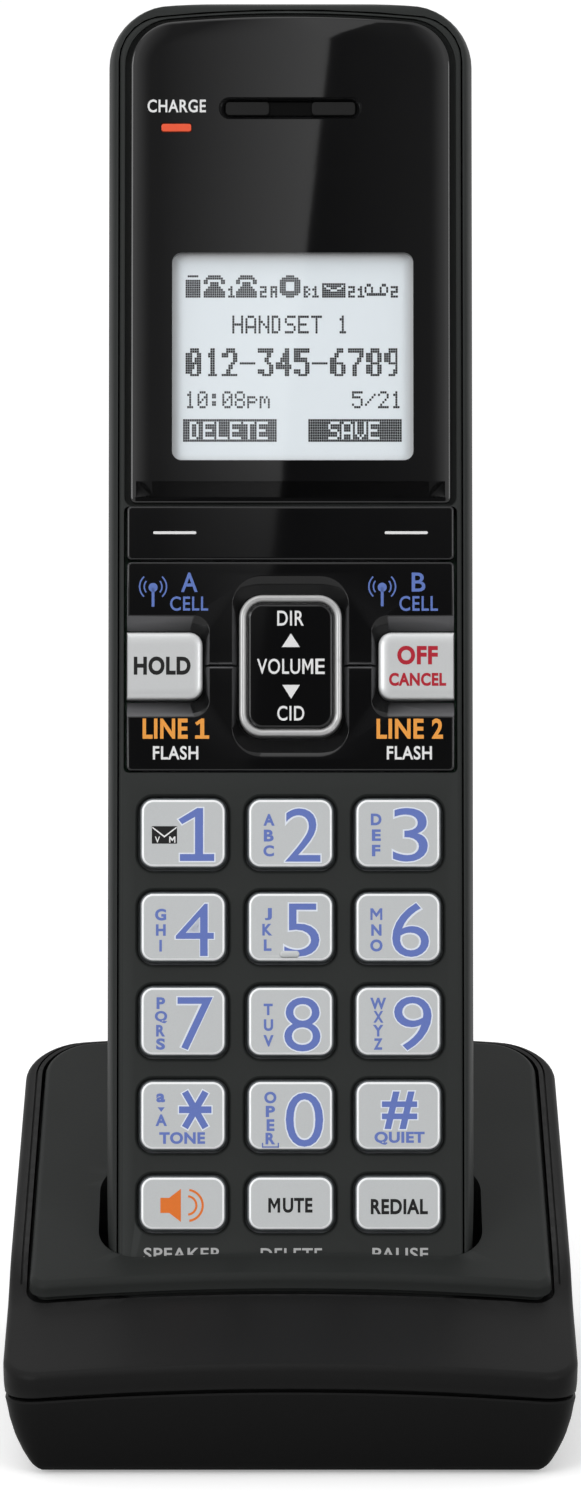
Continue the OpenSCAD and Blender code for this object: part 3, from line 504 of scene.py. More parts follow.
def arc_band(cx, cz, r0, r1, a0, a1, n=16):
    """Curved stroke between two radii and two angles, in degrees."""
    points = []
    for i in range(n + 1):
        a = math.radians(a0 + (a1 - a0)*i/n)
        points += [(cx + r*math.cos(a), cz + r*math.sin(a)) for r in (r0, r1)]
    return points, [(2*i, 2*i + 1, 2*i + 3, 2*i + 2) for i in range(n)]


pale_ink = ink("pale_ink", (0.43, 0.43, 0.43))
shell_print = -0.012
printing("lower_labels",
         words("SPEAKER -19.9 12.03 -9.32 13.73, DELETE -4.05 11.97 4.29 13.67, PAUSE 11.09 12.03 18.68 13.73"),
         pale_ink, "handset", shell_print)


# === Face lens ===
# Clear acrylic printed black from behind, with gloss on the outside. The window
# over the display stays clear, and the earpiece slot is cut through it.


def compute(tree, operation, a, b=0.0):
    """Result of a maths node on two sockets or numbers."""
    return add(tree, "Math", {0: a, 1: b}, operation=operation).outputs[0]


def lens_outline(inset):
    return arched(lens_w, lens_z, lens_top, 0.8, 6.2, inset, 16)


gloss_black = plastic("gloss_black", (0.005, 0.005, 0.0053), 0.014, 0.004, 0.0000004, 0.1)
lens_edge = [(3.0, -0.15), (2.2, -0.146), (1.6, -0.135), (1.0, -0.113), (0.5, -0.083), (0.28, -0.06),
             (0.12, -0.01), (0.02, 0.08), (0, 0.22), (0, floor_y)]
lens = pressed("lens", lens_outline, lens_edge, 60)
cut(lens, block("window", rounded(window_x, window_z, window_w, window_h, 1.3, 10), -1, 3), crease=40)
cut(lens, pressed("slot", lambda i: rounded(0, slot_z, slot_w - 2*i, slot_h - 2*i*0.7, 1.45 - i*0.7, 10),
                  [(-0.15, -0.3), (0, -0.1), (0.35, 0.25), (0.7, 0.6), (0.7, 3)]), crease=40)
cut(lens, block("light_hole", rounded(light_x, light_z, 4.3, 1.3, 0.4), -1, 3), crease=40)
finish(lens, gloss_black, "handset", "face_lens")

# Clear pane that fills the window, flush with the lens
clear, tree = material_tree("clear_window", True)
bent = compute(tree, "POWER", add(tree, "LayerWeight").outputs["Facing"], 5)
share = ramp(tree, bent, 0.0, 1.0, 0.04, 1.0)
gloss = ramp(tree, add(tree, "TexNoise", {"Scale": 90}).outputs["Fac"], 0.0, 1.0, 0.01, 0.03)
through = add(tree, "BsdfTransparent", {"Color": (0.97, 0.98, 0.98, 1)}).outputs["BSDF"]
mirror = add(tree, "BsdfGlossy", {"Roughness": gloss}).outputs["BSDF"]
both = add(tree, "MixShader", {"Fac": share, 1: through, 2: mirror}).outputs["Shader"]
wire(tree, tree.nodes["Material Output"], {"Surface": both})
pane_y, lens_print = -0.145, -0.16
pane = flat("window_pane", [area(*rounded(window_x, window_z, window_w, window_h, 1.3, 10))], pane_y)
finish(pane, clear, "handset")
pane.visible_shadow = False

# Black grille in the earpiece slot, with two dark grey blocks beside the sound hole
grille = block("earpiece_grille", rounded(0, slot_z, slot_w - 1.6, slot_h - 1.2, 0.8), 0.62, 0.9)
finish(grille, plastic("grille_black", (0.002, 0.002, 0.002), 0.6, specular=0.05), "handset")
for side in (-1, 1):
    ear = pressed("earpiece_block_left" if side < 0 else "earpiece_block_right",
                  lambda i: rounded(side*5.9, slot_z, 6.0 - 2*i, 1.9 - 2*i, 0.5 - i/2),
                  [(0.25, 0.22), (0.08, 0.26), (0, 0.4), (0, 0.62)])
    finish(ear, plastic("grille_grey", (0.012, 0.012, 0.012), 0.5, specular=0.1), "handset")

white_ink = ink("white_ink", (0.8, 0.8, 0.8))
printing("charge_label", words("CHARGE -19.6 169.2 -11.6 171.0"), white_ink, "handset", lens_print)


# === Display ===
# Liquid crystal module under the clear window: a pale field with painted shade
# that darkens it towards its edges, under the bezel, and dark square dots.

field, tree = material_tree("display_field")
place = add(tree, "TexCoord").outputs
split = add(tree, "SeparateXYZ", {"Vector": place["Generated"]}).outputs
across = compute(tree, "MINIMUM", split["X"], compute(tree, "SUBTRACT", 1.0, split["X"]))
upwards = compute(tree, "MINIMUM", split["Z"], compute(tree, "SUBTRACT", 1.0, split["Z"]))
edge = compute(tree, "MINIMUM", compute(tree, "MULTIPLY", across, 1.18), upwards)
# Painted shade: the field gets darker towards its edges
edge_shade = add(tree, "MapRange", {"Value": edge, "From Min": 0.015, "From Max": 0.09}, interpolation_type="SMOOTHERSTEP")
shaded_field = blend(tree, edge_shade.outputs["Result"], (0.62, 0.62, 0.63, 1), (0.83, 0.875, 0.915, 1))
mottle = add(tree, "TexNoise", {"Vector": place["Object"], "Scale": 900}).outputs["Fac"]
gloss = ramp(tree, mottle, 0.0, 1.0, 0.5, 0.6)
bump = add(tree, "Bump", {"Height": mottle, "Distance": 0.000002})
wire(tree, tree.nodes["Principled BSDF"], {
    "Base Color": shaded_field, "Roughness": gloss, "Normal": bump.outputs["Normal"],
    "Specular IOR Level": 0.1, "Emission Color": shaded_field, "Emission Strength": 0.06})

display_w, display_h, display_y0, display_y1 = 35.0, 30.6, 1.4, 2.7
display = block("display", rounded(window_x, window_z, display_w, display_h, 0.4), display_y0, display_y1)
finish(display, field, "handset", "lcd_module")

glyphs = {"0": "3E5149453E", "1": "00427F4000", "2": "4261514946", "3": "2141454B31", "4": "1814127F10",
          "5": "2745454539", "6": "3C4A494930", "7": "0171090503", "8": "3649494936", "9": "064949291E",
          "A": "7E1111117E", "D": "7F41413E00", "E": "7F49494941", "H": "7F0808087F", "L": "7F40404040",
          "N": "7F0408107F", "S": "4649494931", "T": "01017F0101", "V": "1F2040201F", "p": "7C14141408",
          "m": "7C04180478", "-": "0808080808", ":": "0036360000", "/": "2010080402", " ": "0000000000"}
small = {"1": [".#.", "##.", ".#.", ".#.", "###"], "2": ["###", "..#", "###", "#..", "###"],
         "A": ["###", "#.#", "###", "#.#", "#.#"], "B": ["##.", "#.#", "##.", "#.#", "##."]}
handset_sign = ["..######..", ".########.", "##......##", "##.####.##", "...####...", "..######..", ".########."]
handset_sign += ["##########"]*3
battery_sign = [".#####.", ".......", "#######"] + ["#######"]*7
link_sign = ["...####...", ".########.", "##########"] + ["###....###"]*4
link_sign += ["##########", ".########.", "...####..."]
envelope_sign = ["###########", "#.#######.#", "##..###..##", "####...####"] + ["###########"]*3
tape_sign = [".##.....##.", "#..#...#..#", "#..#...#..#", ".#########."]


def dots(rows, box, skip=False):
    """Square dots for the marked cells of a small grid fitted to a box; skip draws the other cells."""
    x0, z0, x1, z1 = box
    w, h = (x1 - x0)/len(rows[0]), (z1 - z0)/len(rows)
    points, faces = [], []
    for j, row in enumerate(rows):
        for i, cell in enumerate(row):
            if (cell == "#") != skip:
                x, z, k = x0 + i*w, z1 - (j + 1)*h, len(points)
                points += [(x + 0.03, z + 0.03), (x + w, z + 0.03), (x + w, z + h), (x + 0.03, z + h)]
                faces.append((k, k + 1, k + 2, k + 3))
    return points, faces


def typed(text, tall=7, wide=5, gap=1, heavy=False):
    """Rows of cells for a line of display text; heavy strokes are two cells wide."""
    rows = []
    for j in range(tall):
        bit = int(j*7/tall)
        rows.append(("."*gap).join("".join("#" if int(glyphs[c][2*k:2*k + 2], 16) >> bit & 1 else "."
                                           for k in [int(i*5/wide) for i in range(wide)]) for c in text))
    if heavy:
        rows = ["".join("#" if "#" in row[max(0, i - 1):i + 1] else "." for i in range(len(row))) for row in rows]
    return rows


def boxed(text, across, left):
    """Rows of cells for inverse text: a filled bar with the letters left out."""
    edge = ["."*across]
    return edge + ["."*left + row + "."*(across - left - len(row)) for row in typed(text)] + edge


icon_z, high_top, low_top = 143.78, 146.9, 145.4
high_icons = [(battery_sign, -14.41, -12.35), (handset_sign, -11.93, -8.98), (handset_sign, -7.5, -4.62),
              (link_sign, -1.5, 1.35)]
low_icons = [(small["1"], -8.58, -7.64), (small["2"], -4.22, -3.28), (small["A"], -2.77, -1.83),
             (small["B"], 1.77, 2.71), (small["1"], 2.95, 3.87)]
grey_dots = [dots(sign, (x0, icon_z, x1, top)) for icons, top in ((high_icons, high_top), (low_icons, low_top))
             for sign, x0, x1 in icons]
grey_dots += [dots(typed("10:08pm"), (-14.46, 128.5, -2.84, 130.88)),
              dots(boxed("DELETE", 42, 3), (-14.74, 123.88, -1.9, 127.03), True)]
black_dots = [dots(envelope_sign, (4.3, icon_z, 7.53, 145.8)), dots(small["2"], (7.88, icon_z, 8.82, low_top)),
              dots(small["1"], (9.18, icon_z, 10.12, low_top)), dots(tape_sign, (10.12, 144.02, 13.38, 145.73)),
              dots(small["2"], (13.71, icon_z, 14.72, low_top)), dots(typed("HANDSET 1"), (-8.0, 138.83, 7.9, 141.33)),
              dots(typed("012-345-6789", 12, 6, 2, True), (-14.4, 132.94, 14.64, 136.81)),
              dots(typed("5/21"), (8.39, 128.5, 15.22, 130.88)),
              dots(boxed("SAVE", 42, 9), (2.41, 123.88, 15.22, 127.03), True)]
dots_y = 1.385
finish(flat("display_dots_grey", grey_dots, dots_y), ink("crystal_grey", (0.05, 0.05, 0.056)), "handset")
finish(flat("display_dots_black", black_dots, dots_y), ink("crystal_black", (0.014, 0.014, 0.017)), "handset")


# === Charge light ===
# Moulded orange light pipe that shows as a small bar beside the earpiece.

light = pressed("charge_light", inset_box(light_x, light_z, 4.1, 1.1, 0.35),
                [(0.12, -0.18), (0.03, -0.15), (0, -0.05), (0, 5.4)])
orange_light = plastic("orange_light", (0.8, 0.085, 0.022), 0.25, 0.0008, 0.000003, 0.04)
tree = orange_light.node_tree
wire(tree, tree.nodes["Principled BSDF"], {"Emission Color": (1, 0.12, 0.05, 1), "Emission Strength": 0.06})
finish(light, orange_light, "handset", "charge_light_pipe")


# === Soft key bar ===
# One gloss black rocker under the lens with a white dash printed at each end.

bar_z0, bar_z1 = panel_z + panel_h + 0.3, lens_z - lens_gap
foot_x, foot_w = 16.0, 3.0
panel_edge = [(0.34, -0.35), (0.2, -0.34), (0.09, -0.29), (0.02, -0.2), (0, -0.08), (0, 1.9)]
plate_print = -0.362
# Its lighter edges are partly wear and partly a painted highlight, the thin light outline of the rounded edges
gloss_panel = plastic("gloss_panel", (0.005, 0.005, 0.0053), 0.02, 0.004, 0.0000004, 0.1, wear=0.5,
                      wear_and_sheen_colour=(0.2, 0.2, 0.21), specular=0.32)


def rocker(name, z0, z1, foot_z):
    """Gloss piece as wide as the panel, with a rounded front edge and two feet behind."""
    piece = pressed(name, inset_box(0, (z0 + z1)/2, panel_w, z1 - z0, 0.6), panel_edge, 60)
    for side in (-1, 1):
        cut(piece, block("foot", rounded(side*foot_x, foot_z, foot_w, foot_w, 0.5), 1.8, 2.8), "UNION", 60)
    return piece


finish(rocker("soft_key_bar", bar_z0, bar_z1, (bar_z0 + bar_z1)/2), gloss_panel, "softkey_bar", "softkey_bar")
printing("soft_key_dashes", [], white_ink, "softkey_bar", -0.36,
         extra=[area(*rounded(side*15.8, 111.2, 5.9, 0.38, 0.19, 4)) for side in (-1, 1)])


# === Function plates ===
# Two gloss black rockers with bevelled recesses that the ring and the two
# silver keys stand in. The words are screen printed.

panel_mid = panel_z + panel_h/2
split_z = panel_mid + 0.1
nav_w, nav_h, hold_w, hold_h = 14.0, 19.4, 10.3, 9.2
hold_x = panel_w/2 - hold_w/2


def recess(cx, w, h, r, back_w, back_h, back_r):
    """Tapered hole with a rounded lip, wide at the front."""
    rings = []
    for k, y, corner in [(1.25, -0.6, r), (1.16, -0.36, r), (1.05, -0.31, r), (0.98, -0.2, r),
                         (0.04, 0.92, back_r), (0, 1.0, back_r), (0, 9, back_r)]:
        outline = rounded(cx, panel_mid, back_w + (w - back_w)*k, back_h + (h - back_h)*k, corner, 9)
        rings.append([stand(x, y, z) for x, z in outline])
    return loft("recess", rings, 60)


def function_plate(name, z0, z1, foot_z):
    """Rocker with the recesses cut through it."""
    plate = rocker(name, z0, z1, foot_z)
    cut(plate, recess(0, nav_w + 1.8, nav_h + 4.9, 4.0, nav_w + 0.6, nav_h + 0.6, 3.4), crease=40)
    for side in (-1, 1):
        cut(plate, recess(side*(hold_x + 1), hold_w + 3.8, hold_h + 4.4, 2.3, hold_w + 2.6, hold_h + 0.6, 2.1),
            crease=40)
    return plate


upper = function_plate("cell_plate", split_z + 0.15, panel_z + panel_h, panel_z + panel_h - 4)
finish(upper, gloss_panel, "cell_plate", "cell_key_plate")
lower = function_plate("line_plate", panel_z, split_z - 0.15, panel_z + 4)
finish(lower, gloss_panel, "line_plate", "line_key_plate")


def antenna(x0, z0, x1, z1):
    """Drawn sign of a mast that sends waves to both sides."""
    cx, cz, k = (x0 + x1)/2, z0 + 2.65*(z1 - z0)/4.28, (x1 - x0)/3.85
    waves = [arc_band(cx, cz + 0.1, r*k - 0.1, r*k + 0.1, a - w, a + w)
             for a in (0, 180) for r, w in ((1.2, 40), (1.82, 48))]
    return [strip(cx - 0.19, z0, cx + 0.19, cz), area(*disc(cx, cz, 0.62, 20))] + waves


blue_ink = ink("blue_ink", (0.115, 0.19, 0.52))
printing("cell_words", words("A -14.93 103.06 -12.67 105.72, CELL -16.42 100.49 -11.23 102.46, "
                             "B 16.54 103.12 18.4 105.72, CELL 14.85 100.46 20.1 102.52"),
         blue_ink, "cell_plate", plate_print, 0.012,
         antenna(-20.69, 101.04, -16.81, 105.32) + antenna(10.59, 101.1, 14.43, 105.32))
orange_ink = ink("orange_ink", (0.87, 0.35, 0.055))
one = area((-13.0, 82.96), (-11.07, 82.96), (-11.07, 83.42), (-11.75, 83.42), (-11.75, 85.73), (-12.15, 85.73),
           (-13.0, 85.15), (-12.76, 84.77), (-12.3, 85.08), (-12.3, 83.42), (-13.0, 83.42))
printing("line_words", words("LINE -20.15 82.96 -14.0 85.73, LINE 2 11.72 82.96 20.77 85.73"),
         orange_ink, "line_plate", plate_print, 0.03, [one])
printing("flash_words", words("FLASH -18.74 80.1 -12.56 81.97, FLASH 13.12 80.1 19.26 81.97"),
         white_ink, "line_plate", plate_print, 0.02)


# === Hold and off keys ===
# Silver painted keys with a cushioned top. Their outer sides line up with the
# panel's, and their inner corners are round.

silver = (0.6, 0.61, 0.615)
silver_paint = plastic("silver_paint", silver, 0.34, 0.00025, 0.000006, 0.03, 0.2, 0.35, 0.3, (0.8, 0.8, 0.8))


def side_key(name, side):
    """Cushioned key whose outer side is cut straight by the panel's edge."""
    rings = []
    for inset, y in [(1.6, -1.0), (1.1, -0.98), (0.7, -0.92), (0.4, -0.83),
                     (0.18, -0.7), (0.05, -0.52), (0, -0.3), (0, 2.6)]:
        ring = rounded(side*(hold_x + 1), panel_mid, hold_w + 2 - 2*inset, hold_h - 2*inset, max(0.35, 1.8 - inset), 9)
        limit = panel_w/2 - min(0.15, inset*0.3)
        rings.append([stand(side*min(side*x, limit), y, z) for x, z in ring])
    return loft(name, rings, 45)


finish(side_key("hold_key_cap", -1), silver_paint, "hold_key", "hold_key")
finish(side_key("off_key_cap", 1), silver_paint, "off_key", "off_key")
black_ink, red_ink = ink("black_ink", (0.008, 0.008, 0.008)), ink("red_ink", (0.44, 0.009, 0.026))
side_print = -1.012
printing("hold_word", words("HOLD -21.35 91.63 -13.61 94.16"), black_ink, "hold_key", side_print, 0.042)
printing("off_words", words("OFF 14.54 93.04 20.08 95.63, CANCEL 13.42 90.12 21.21 91.93"),
         red_ink, "off_key", side_print, 0.042)


# === Navigation key ===
# Bright ring with a round top, and a gloss black cap printed with white words.
# Both rock on one pivot.

nav_outline = inset_box(0, panel_mid, nav_w, nav_h, 3.2, 12)
bright = plastic("bright_ring", (0.42, 0.42, 0.42), 0.3, 0.0006, 0.000003, 0.03, 0.0, 0.4, 0.3, (0.85, 0.85, 0.85))
ring_layers = [(0, 2.6), (0, -0.75), (0.04, -0.98), (0.16, -1.17), (0.34, -1.28), (0.54, -1.29), (0.74, -1.2),
               (0.9, -1.04), (0.98, -0.85), (1.0, -0.6), (1.0, 0.9)]
ring = pressed("nav_ring_band", nav_outline, ring_layers, 60)
finish(ring, bright, "nav_rocker", "nav_ring")
cap_layers = [(1.62, -1.0), (1.5, -0.99), (1.36, -0.93), (1.26, -0.83), (1.2, -0.68), (1.2, 0.85)]
cap = pressed("nav_cap_skin", nav_outline, cap_layers, 60)
finish(cap, gloss_panel, "nav_rocker", "nav_cap")
printing("nav_words", words("DIR -1.81 98.38 1.82 100.43, VOLU -4.56 91.75 1.31 93.86, "
                            "E 3.39 91.75 4.67 93.86, CID -1.8 85.37 1.88 87.41"),
         white_ink, "nav_rocker", side_print, 0.012,
         [letter_m(1.6, 91.77, 3.09, 93.84, 0.3), area((-1.18, 95.45), (1.28, 95.45), (0.05, 97.32)),
          area((-1.11, 90.27), (1.28, 90.27), (0.08, 88.38))])


# === Keypad keys ===
# Silver painted plastic keys with a soft dish. Their bright edge is partly a brighter
# rim and partly a painted highlight, and their grey sides are painted shade. The digits and
# letters are printed in blue with a pale outline; the middle key has a raised mark.

key_paint = plastic("key_paint", (0.53, 0.546, 0.552), 0.42, 0.00018, 0.000005, 0.05, 0.1, 0.2, 0.2, (0.8, 0.8, 0.8))
# Bright rim, partly a painted highlight, and grey sides painted as shade
key_rim = plastic("key_rim", (0.86, 0.87, 0.88), 0.3, 0.0003, 0.000002, 0.02, 0.3, 0.1)
key_side = plastic("key_side", (0.16, 0.175, 0.185), 0.4, 0.0003, 0.000003, 0.04)
halo_ink = ink("halo_ink", (0.78, 0.82, 0.9))
key_ink = ink("key_ink", (0.13, 0.19, 0.52))
call_ink = ink("call_ink", (0.78, 0.18, 0.02))
key_print, halo_print, over_print = -1.112, -1.106, -1.118
key_layers = [(0.62, -1.1), (0.5, -1.1), (0.36, -1.07), (0.22, -0.99), (0.1, -0.86), (0.03, -0.7), (0, -0.5), (0, 1.9),
              (-0.8, 1.9), (-0.8, 2.5)]


def unstand(place):
    """Where a place in metres lies in handset millimetres."""
    x, y, z = place.x*1000, place.y*1000 - seat_y, place.z*1000 - seat_z
    return x, y*math.cos(lean) - z*math.sin(lean), z*math.cos(lean) + y*math.sin(lean)


def keypad_key(node, x, z, h):
    """Key with a flange behind, painted silver; its bright front edge is partly a painted highlight and its grey side
    is painted shade.
    """
    def outline(inset):
        return rounded(x, z, key_w - 2*inset, h - 2*inset, key_r - max(inset, 0), 9)

    key = pressed(node + "_cap", outline, key_layers, 50)
    if node == "key_5":
        cut(key, pressed("mark", inset_box(-0.13, 53.5, 2.76, 1.0, 0.5, 9),
                         [(0.4, -1.34), (0.2, -1.31), (0.06, -1.22), (0, -1.08), (0, -0.9)]), "UNION", 50)
    finish(key, key_paint, node, node)
    for extra in (key_rim, key_side):
        key.data.materials.append(extra)
    for face in key.data.polygons:
        corners = [unstand(key.data.vertices[v].co) for v in face.vertices]
        y = sum(corner[1] for corner in corners)/len(corners)
        cx, cy, cz = unstand(face.center)
        dx, dz = abs(cx - x) - key_w/2, abs(cz - z) - h/2
        outside = max(dx, dz) > -0.5 or math.hypot(max(0, dx + key_r), max(0, dz + key_r)) > key_r - 0.5
        # Side faces take the painted shade, front edge faces the painted highlight, the rest the silver paint
        face.material_index = 2 if y > -0.93 else 1 if outside and y > -1.11 else 0


def one_sign(x0, z0, x1, z1):
    """Outline of the digit one with its flag and foot."""
    foot = z0 + 0.95
    return [(x0 + 0.1, z0), (x1, z0), (x1, foot), (x0 + 3.25, foot), (x0 + 3.25, z1), (x0 + 2.45, z1),
            (x0 - 0.1, z1 - 1.55), (x0 + 0.4, z1 - 2.2), (x0 + 2.15, z1 - 1.2), (x0 + 2.15, foot), (x0 + 0.1, foot)]


def key_words(node, digit, letters_at=(), extra=(), bold=-0.004):
    """Blue print of a key with its pale outline behind; digit and letters are words with their boxes."""
    sign, (x0, z0, x1, z1) = digit
    wider = bold + (0.01 if sign == "4" else 0.02)
    for name, material, grow, weight, y in (("_halo", halo_ink, 0.18, wider, halo_print),
                                            ("_digit", key_ink, 0, bold, key_print)):
        if sign == "1":
            printing(node + name, [], material, node, y, extra=[area(*grown(one_sign(x0, z0, x1, z1), grow))])
        else:
            printing(node + name, [(sign, (x0 - grow, z0 - grow, x1 + grow, z1 + grow))], material, node, y, weight)
    if letters_at or extra:
        printing(node + "_letters", letters_at, key_ink, node, key_print, 0.042, extra)


# Each digit with its box, then the letters beside it
digit_words = [words(line) for line in (
    "2 -0.73 66.12 4.07 73.38, A -3.69 71.01 -2.15 72.62, B -3.63 68.86 -2.29 70.49, C -3.69 66.82 -2.24 68.36",
    "3 13.92 66.12 18.68 73.43, D 10.93 71.07 12.38 72.68, E 11.07 68.94 12.29 70.52, F 11.07 66.85 12.23 68.42",
    "4 -15.59 53.26 -10.42 60.38, G -18.41 58.09 -16.89 59.71, H -18.29 56.02 -16.95 57.59, "
    "I -17.82 53.87 -17.47 55.47",
    "5 -0.84 53.2 3.92 60.41, J -3.51 58.14 -2.53 59.8, K -3.83 56.05 -2.47 57.65, L -3.63 53.96 -2.58 55.53",
    "6 13.82 53.14 18.81 60.5, N 10.97 56.02 12.37 57.59, O 10.83 53.87 12.51 55.53",
    "7 -15.34 40.49 -10.55 47.66, P -18.19 46.06 -17.02 47.66, Q -18.42 44.12 -16.73 45.8, "
    "R -18.24 42.32 -17.02 43.91, S -18.24 40.52 -17.02 42.08",
    "8 -0.84 40.29 4.06 47.63, T -3.65 45.22 -2.41 46.79, U -3.62 43.07 -2.35 44.67, V -3.68 40.95 -2.29 42.52",
    "9 14.07 40.43 19.16 47.75, W 10.82 46.0 12.99 47.6, X 11.25 44.2 12.62 45.8, "
    "Y 11.19 42.32 12.61 43.91, Z 11.28 40.52 12.5 42.08",
    "0 -0.64 27.36 4.43 34.69, O -3.56 33.24 -1.91 34.83, P -3.36 31.39 -2.09 32.92, "
    "E -3.24 29.5 -2.17 31.1, R -3.39 27.68 -2.06 29.27",
    "1 -15.14 66.21 -10.37 73.43")]
places = {"key_%d" % (3*r + c + 1): (columns[c], digit_rows[3 - r], key_h) for r in range(3) for c in range(3)}
places.update({"key_star": (columns[0], digit_rows[0], key_h), "key_0": (0, digit_rows[0], key_h),
               "key_pound": (columns[2], digit_rows[0], key_h), "key_speaker": (columns[0], low_row, low_key_h),
               "key_mute": (0, low_row, low_key_h), "key_redial": (columns[2], low_row, low_key_h)})
bracket = [strip(-3.88, 27.24, -1.56, 27.42), strip(-3.88, 27.24, -3.7, 27.91), strip(-1.74, 27.24, -1.56, 27.91)]
signs = {"key_0": bracket, "key_6": [letter_m(10.86, 58.17, 12.48, 59.77, 0.3)]}
for node, (x, z, h) in places.items():
    keypad_key(node, x, z, h)
    for digit, *letters_at in digit_words:
        if node == "key_" + digit[0]:
            key_words(node, digit, letters_at, signs.get(node, ()))


def star_sign(cx, cz, half, reach, t):
    """Outline of a star of six arms, two of them level."""
    points = []
    for k in range(6):
        a, length = math.radians(60*k), half if k in (0, 3) else reach
        for side in (-1, 1):
            points.append((cx + length*math.cos(a) - side*t/2*math.sin(a),
                           cz + length*math.sin(a) + side*t/2*math.cos(a)))
        points.append((cx + t*math.cos(a + math.pi/6), cz + t*math.sin(a + math.pi/6)))
    return points


# Star, pound and envelope signs, and the words of the lower keys
for name, material, grow, y in (("halo", halo_ink, 0.17, halo_print), ("sign", key_ink, 0.0, key_print)):
    star = grown(star_sign(-12.92, 32.38, 2.2, 2.8, 0.92), grow)
    printing("key_star_" + name, [], material, "key_star", y, extra=[area(*star)])
printing("key_star_words", words("a -18.2 33.38 -17.01 34.6, A -18.31 30.17 -16.74 31.76, "
                                 "TONE -17.79 27.74 -11.58 29.36"),
         key_ink, "key_star", key_print, 0.042, [area((-18.02, 32.72), (-17.06, 32.72), (-17.54, 32.08))])
key_words("key_pound", ("#", (12.4, 29.76, 17.18, 34.86)), words("QUIET 11.38 27.62 18.19 29.42"), bold=0.022)
printing("key_1_envelope", [], black_ink, "key_1", key_print, extra=[strip(-18.86, 68.57, -15.43, 70.96)])
printing("key_1_flap", words("V -18.45 68.7 -17.75 69.55"), white_ink, "key_1", over_print, 0.02,
         [letter_m(-16.5, 68.7, -15.65, 69.55, 0.17),
          area((-18.8, 70.7), (-18.8, 70.9), (-17.15, 69.65), (-15.49, 70.9), (-15.49, 70.7), (-17.15, 69.4))])
printing("key_speaker_sign", [], call_ink, "key_speaker", key_print, extra=[
    area((-17.63, 18.4), (-16.45, 18.4), (-14.85, 17.18), (-14.85, 21.66), (-16.45, 20.45), (-17.63, 20.45)),
    arc_band(-14.0, 19.42, 1.1, 1.4, -84, 84), arc_band(-14.0, 19.42, 1.95, 2.26, -82, 82)])
printing("key_mute_word", words("UTE -1.03 18.42 2.98 20.44"), black_ink, "key_mute", key_print, 0.035,
         [letter_m(-3.01, 18.44, -1.4, 20.42, 0.36)])
printing("key_redial_word", words("REDIAL 10.88 18.22 18.61 20.3"), black_ink, "key_redial", key_print, 0.035)


# === Top shell of the cradle ===
# Moulded satin black housing: a roof crowned across its width that slopes down
# to the user, and a rounded edge down to the parting line.

slope = math.radians(16.6)
front_y, cradle_w, cradle_rear_w, cradle_d = -47.1104, 76.8, 74.4, 78.0
edge_z, parting_z, crown_r, deck_rise = 16.0, 12.6, 430.0, 2.2
rim_rise, rise_from, rise_to = 1.7, 17.5, 27.0


def plan(front_w, rear_w, y0, y1, rf, rr, inset=0.0, n=12, m=24):
    """Plan outline of the cradle or its deck, with points along the front and rear edges."""
    fx, rx = front_w/2 - rf, rear_w/2 - rr

    def arc(cx, cy, r, a0):
        turns = [math.radians(a0 + 90*i/n) for i in range(n + 1)]
        return [(cx + r*math.cos(a), cy + r*math.sin(a)) for a in turns]

    points = [(-fx + 2*fx*i/m, y0 + inset) for i in range(1, m)] + arc(fx, y0 + rf, rf - inset, -90)
    points += [(fx + rf - inset + (rx + rr - fx - rf)*i/m, y0 + rf + (y1 - rr - y0 - rf)*i/m) for i in range(1, m)]
    points += arc(rx, y1 - rr, rr - inset, 0)
    points += [(rx - 2*rx*i/m, y1 - inset) for i in range(1, m)] + arc(-rx, y1 - rr, rr - inset, 90)
    points += [(-(rx + rr - inset) - (fx + rf - rx - rr)*i/m, y1 - rr - (y1 - rr - y0 - rf)*i/m) for i in range(1, m)]
    return points + arc(-fx, y0 + rf, rf - inset, 180)


def cradle_plan(inset):
    return plan(cradle_w, cradle_rear_w, 0, cradle_d, 5, 8, inset)


def deck_plan(inset, forward=0.0):
    """Plan of the deck, moved in by inset, its front edge moved forward."""
    return plan(cradle_w - 6.2, cradle_rear_w - 5.4, 18.1*math.cos(slope) - forward, cradle_d - 1.3, 2.5, 6.7, inset)


def desk(x, y, z):
    """Cradle millimetres (y from its front edge) to metres."""
    return x/1000, (front_y + y)/1000, z/1000


def roof_z(x, y):
    """Height of the crowned and sloped roof."""
    return edge_z + y*math.tan(slope) - x*x/(2*crown_r)


def roof(outline, up=0.0):
    """Ring that follows the roof."""
    return [desk(x, y, roof_z(x, y) + up/math.cos(slope)) for x, y in outline]


def raised(outline, up=0.0):
    """Ring on the roof that climbs beside the deck, where the shell's rim is level with the deck."""
    return [desk(x, y, roof_z(x, y) + (up + rim_rise*step(rise_from, rise_to, y))/math.cos(slope)) for x, y in outline]


def oblong(x0, y0, x1, y1):
    return [(x0, y0), (x1, y0), (x1, y1), (x0, y1)]


def level(outline, z):
    return [desk(x, y, z) for x, y in outline]


def parting(outline, up):
    return [desk(x, y, parting_z - x*x/(2*crown_r) + up) for x, y in outline]


def shrunk(outline, k):
    """Outline made smaller about the cradle's middle."""
    return [(x*k, cradle_d/2 + (y - cradle_d/2)*k) for x, y in outline]


def towards_middle(outline, up):
    """Rings that carry a crowned surface in to its middle."""
    return [roof(shrunk(outline, k), up) for k in (0.93, 0.85, 0.75, 0.65, 0.55, 0.45, 0.35, 0.25, 0.15, 0.06)]


def sunk(name, outline, depth, surface=roof):
    """Cutter whose floor follows a crowned surface at a depth below it."""
    floor = [surface(shrunk(outline, k), -depth) for k in (0.06, 0.3, 0.55, 0.8)]
    return loft(name, floor + [surface(outline, -depth), surface(outline, 7)])


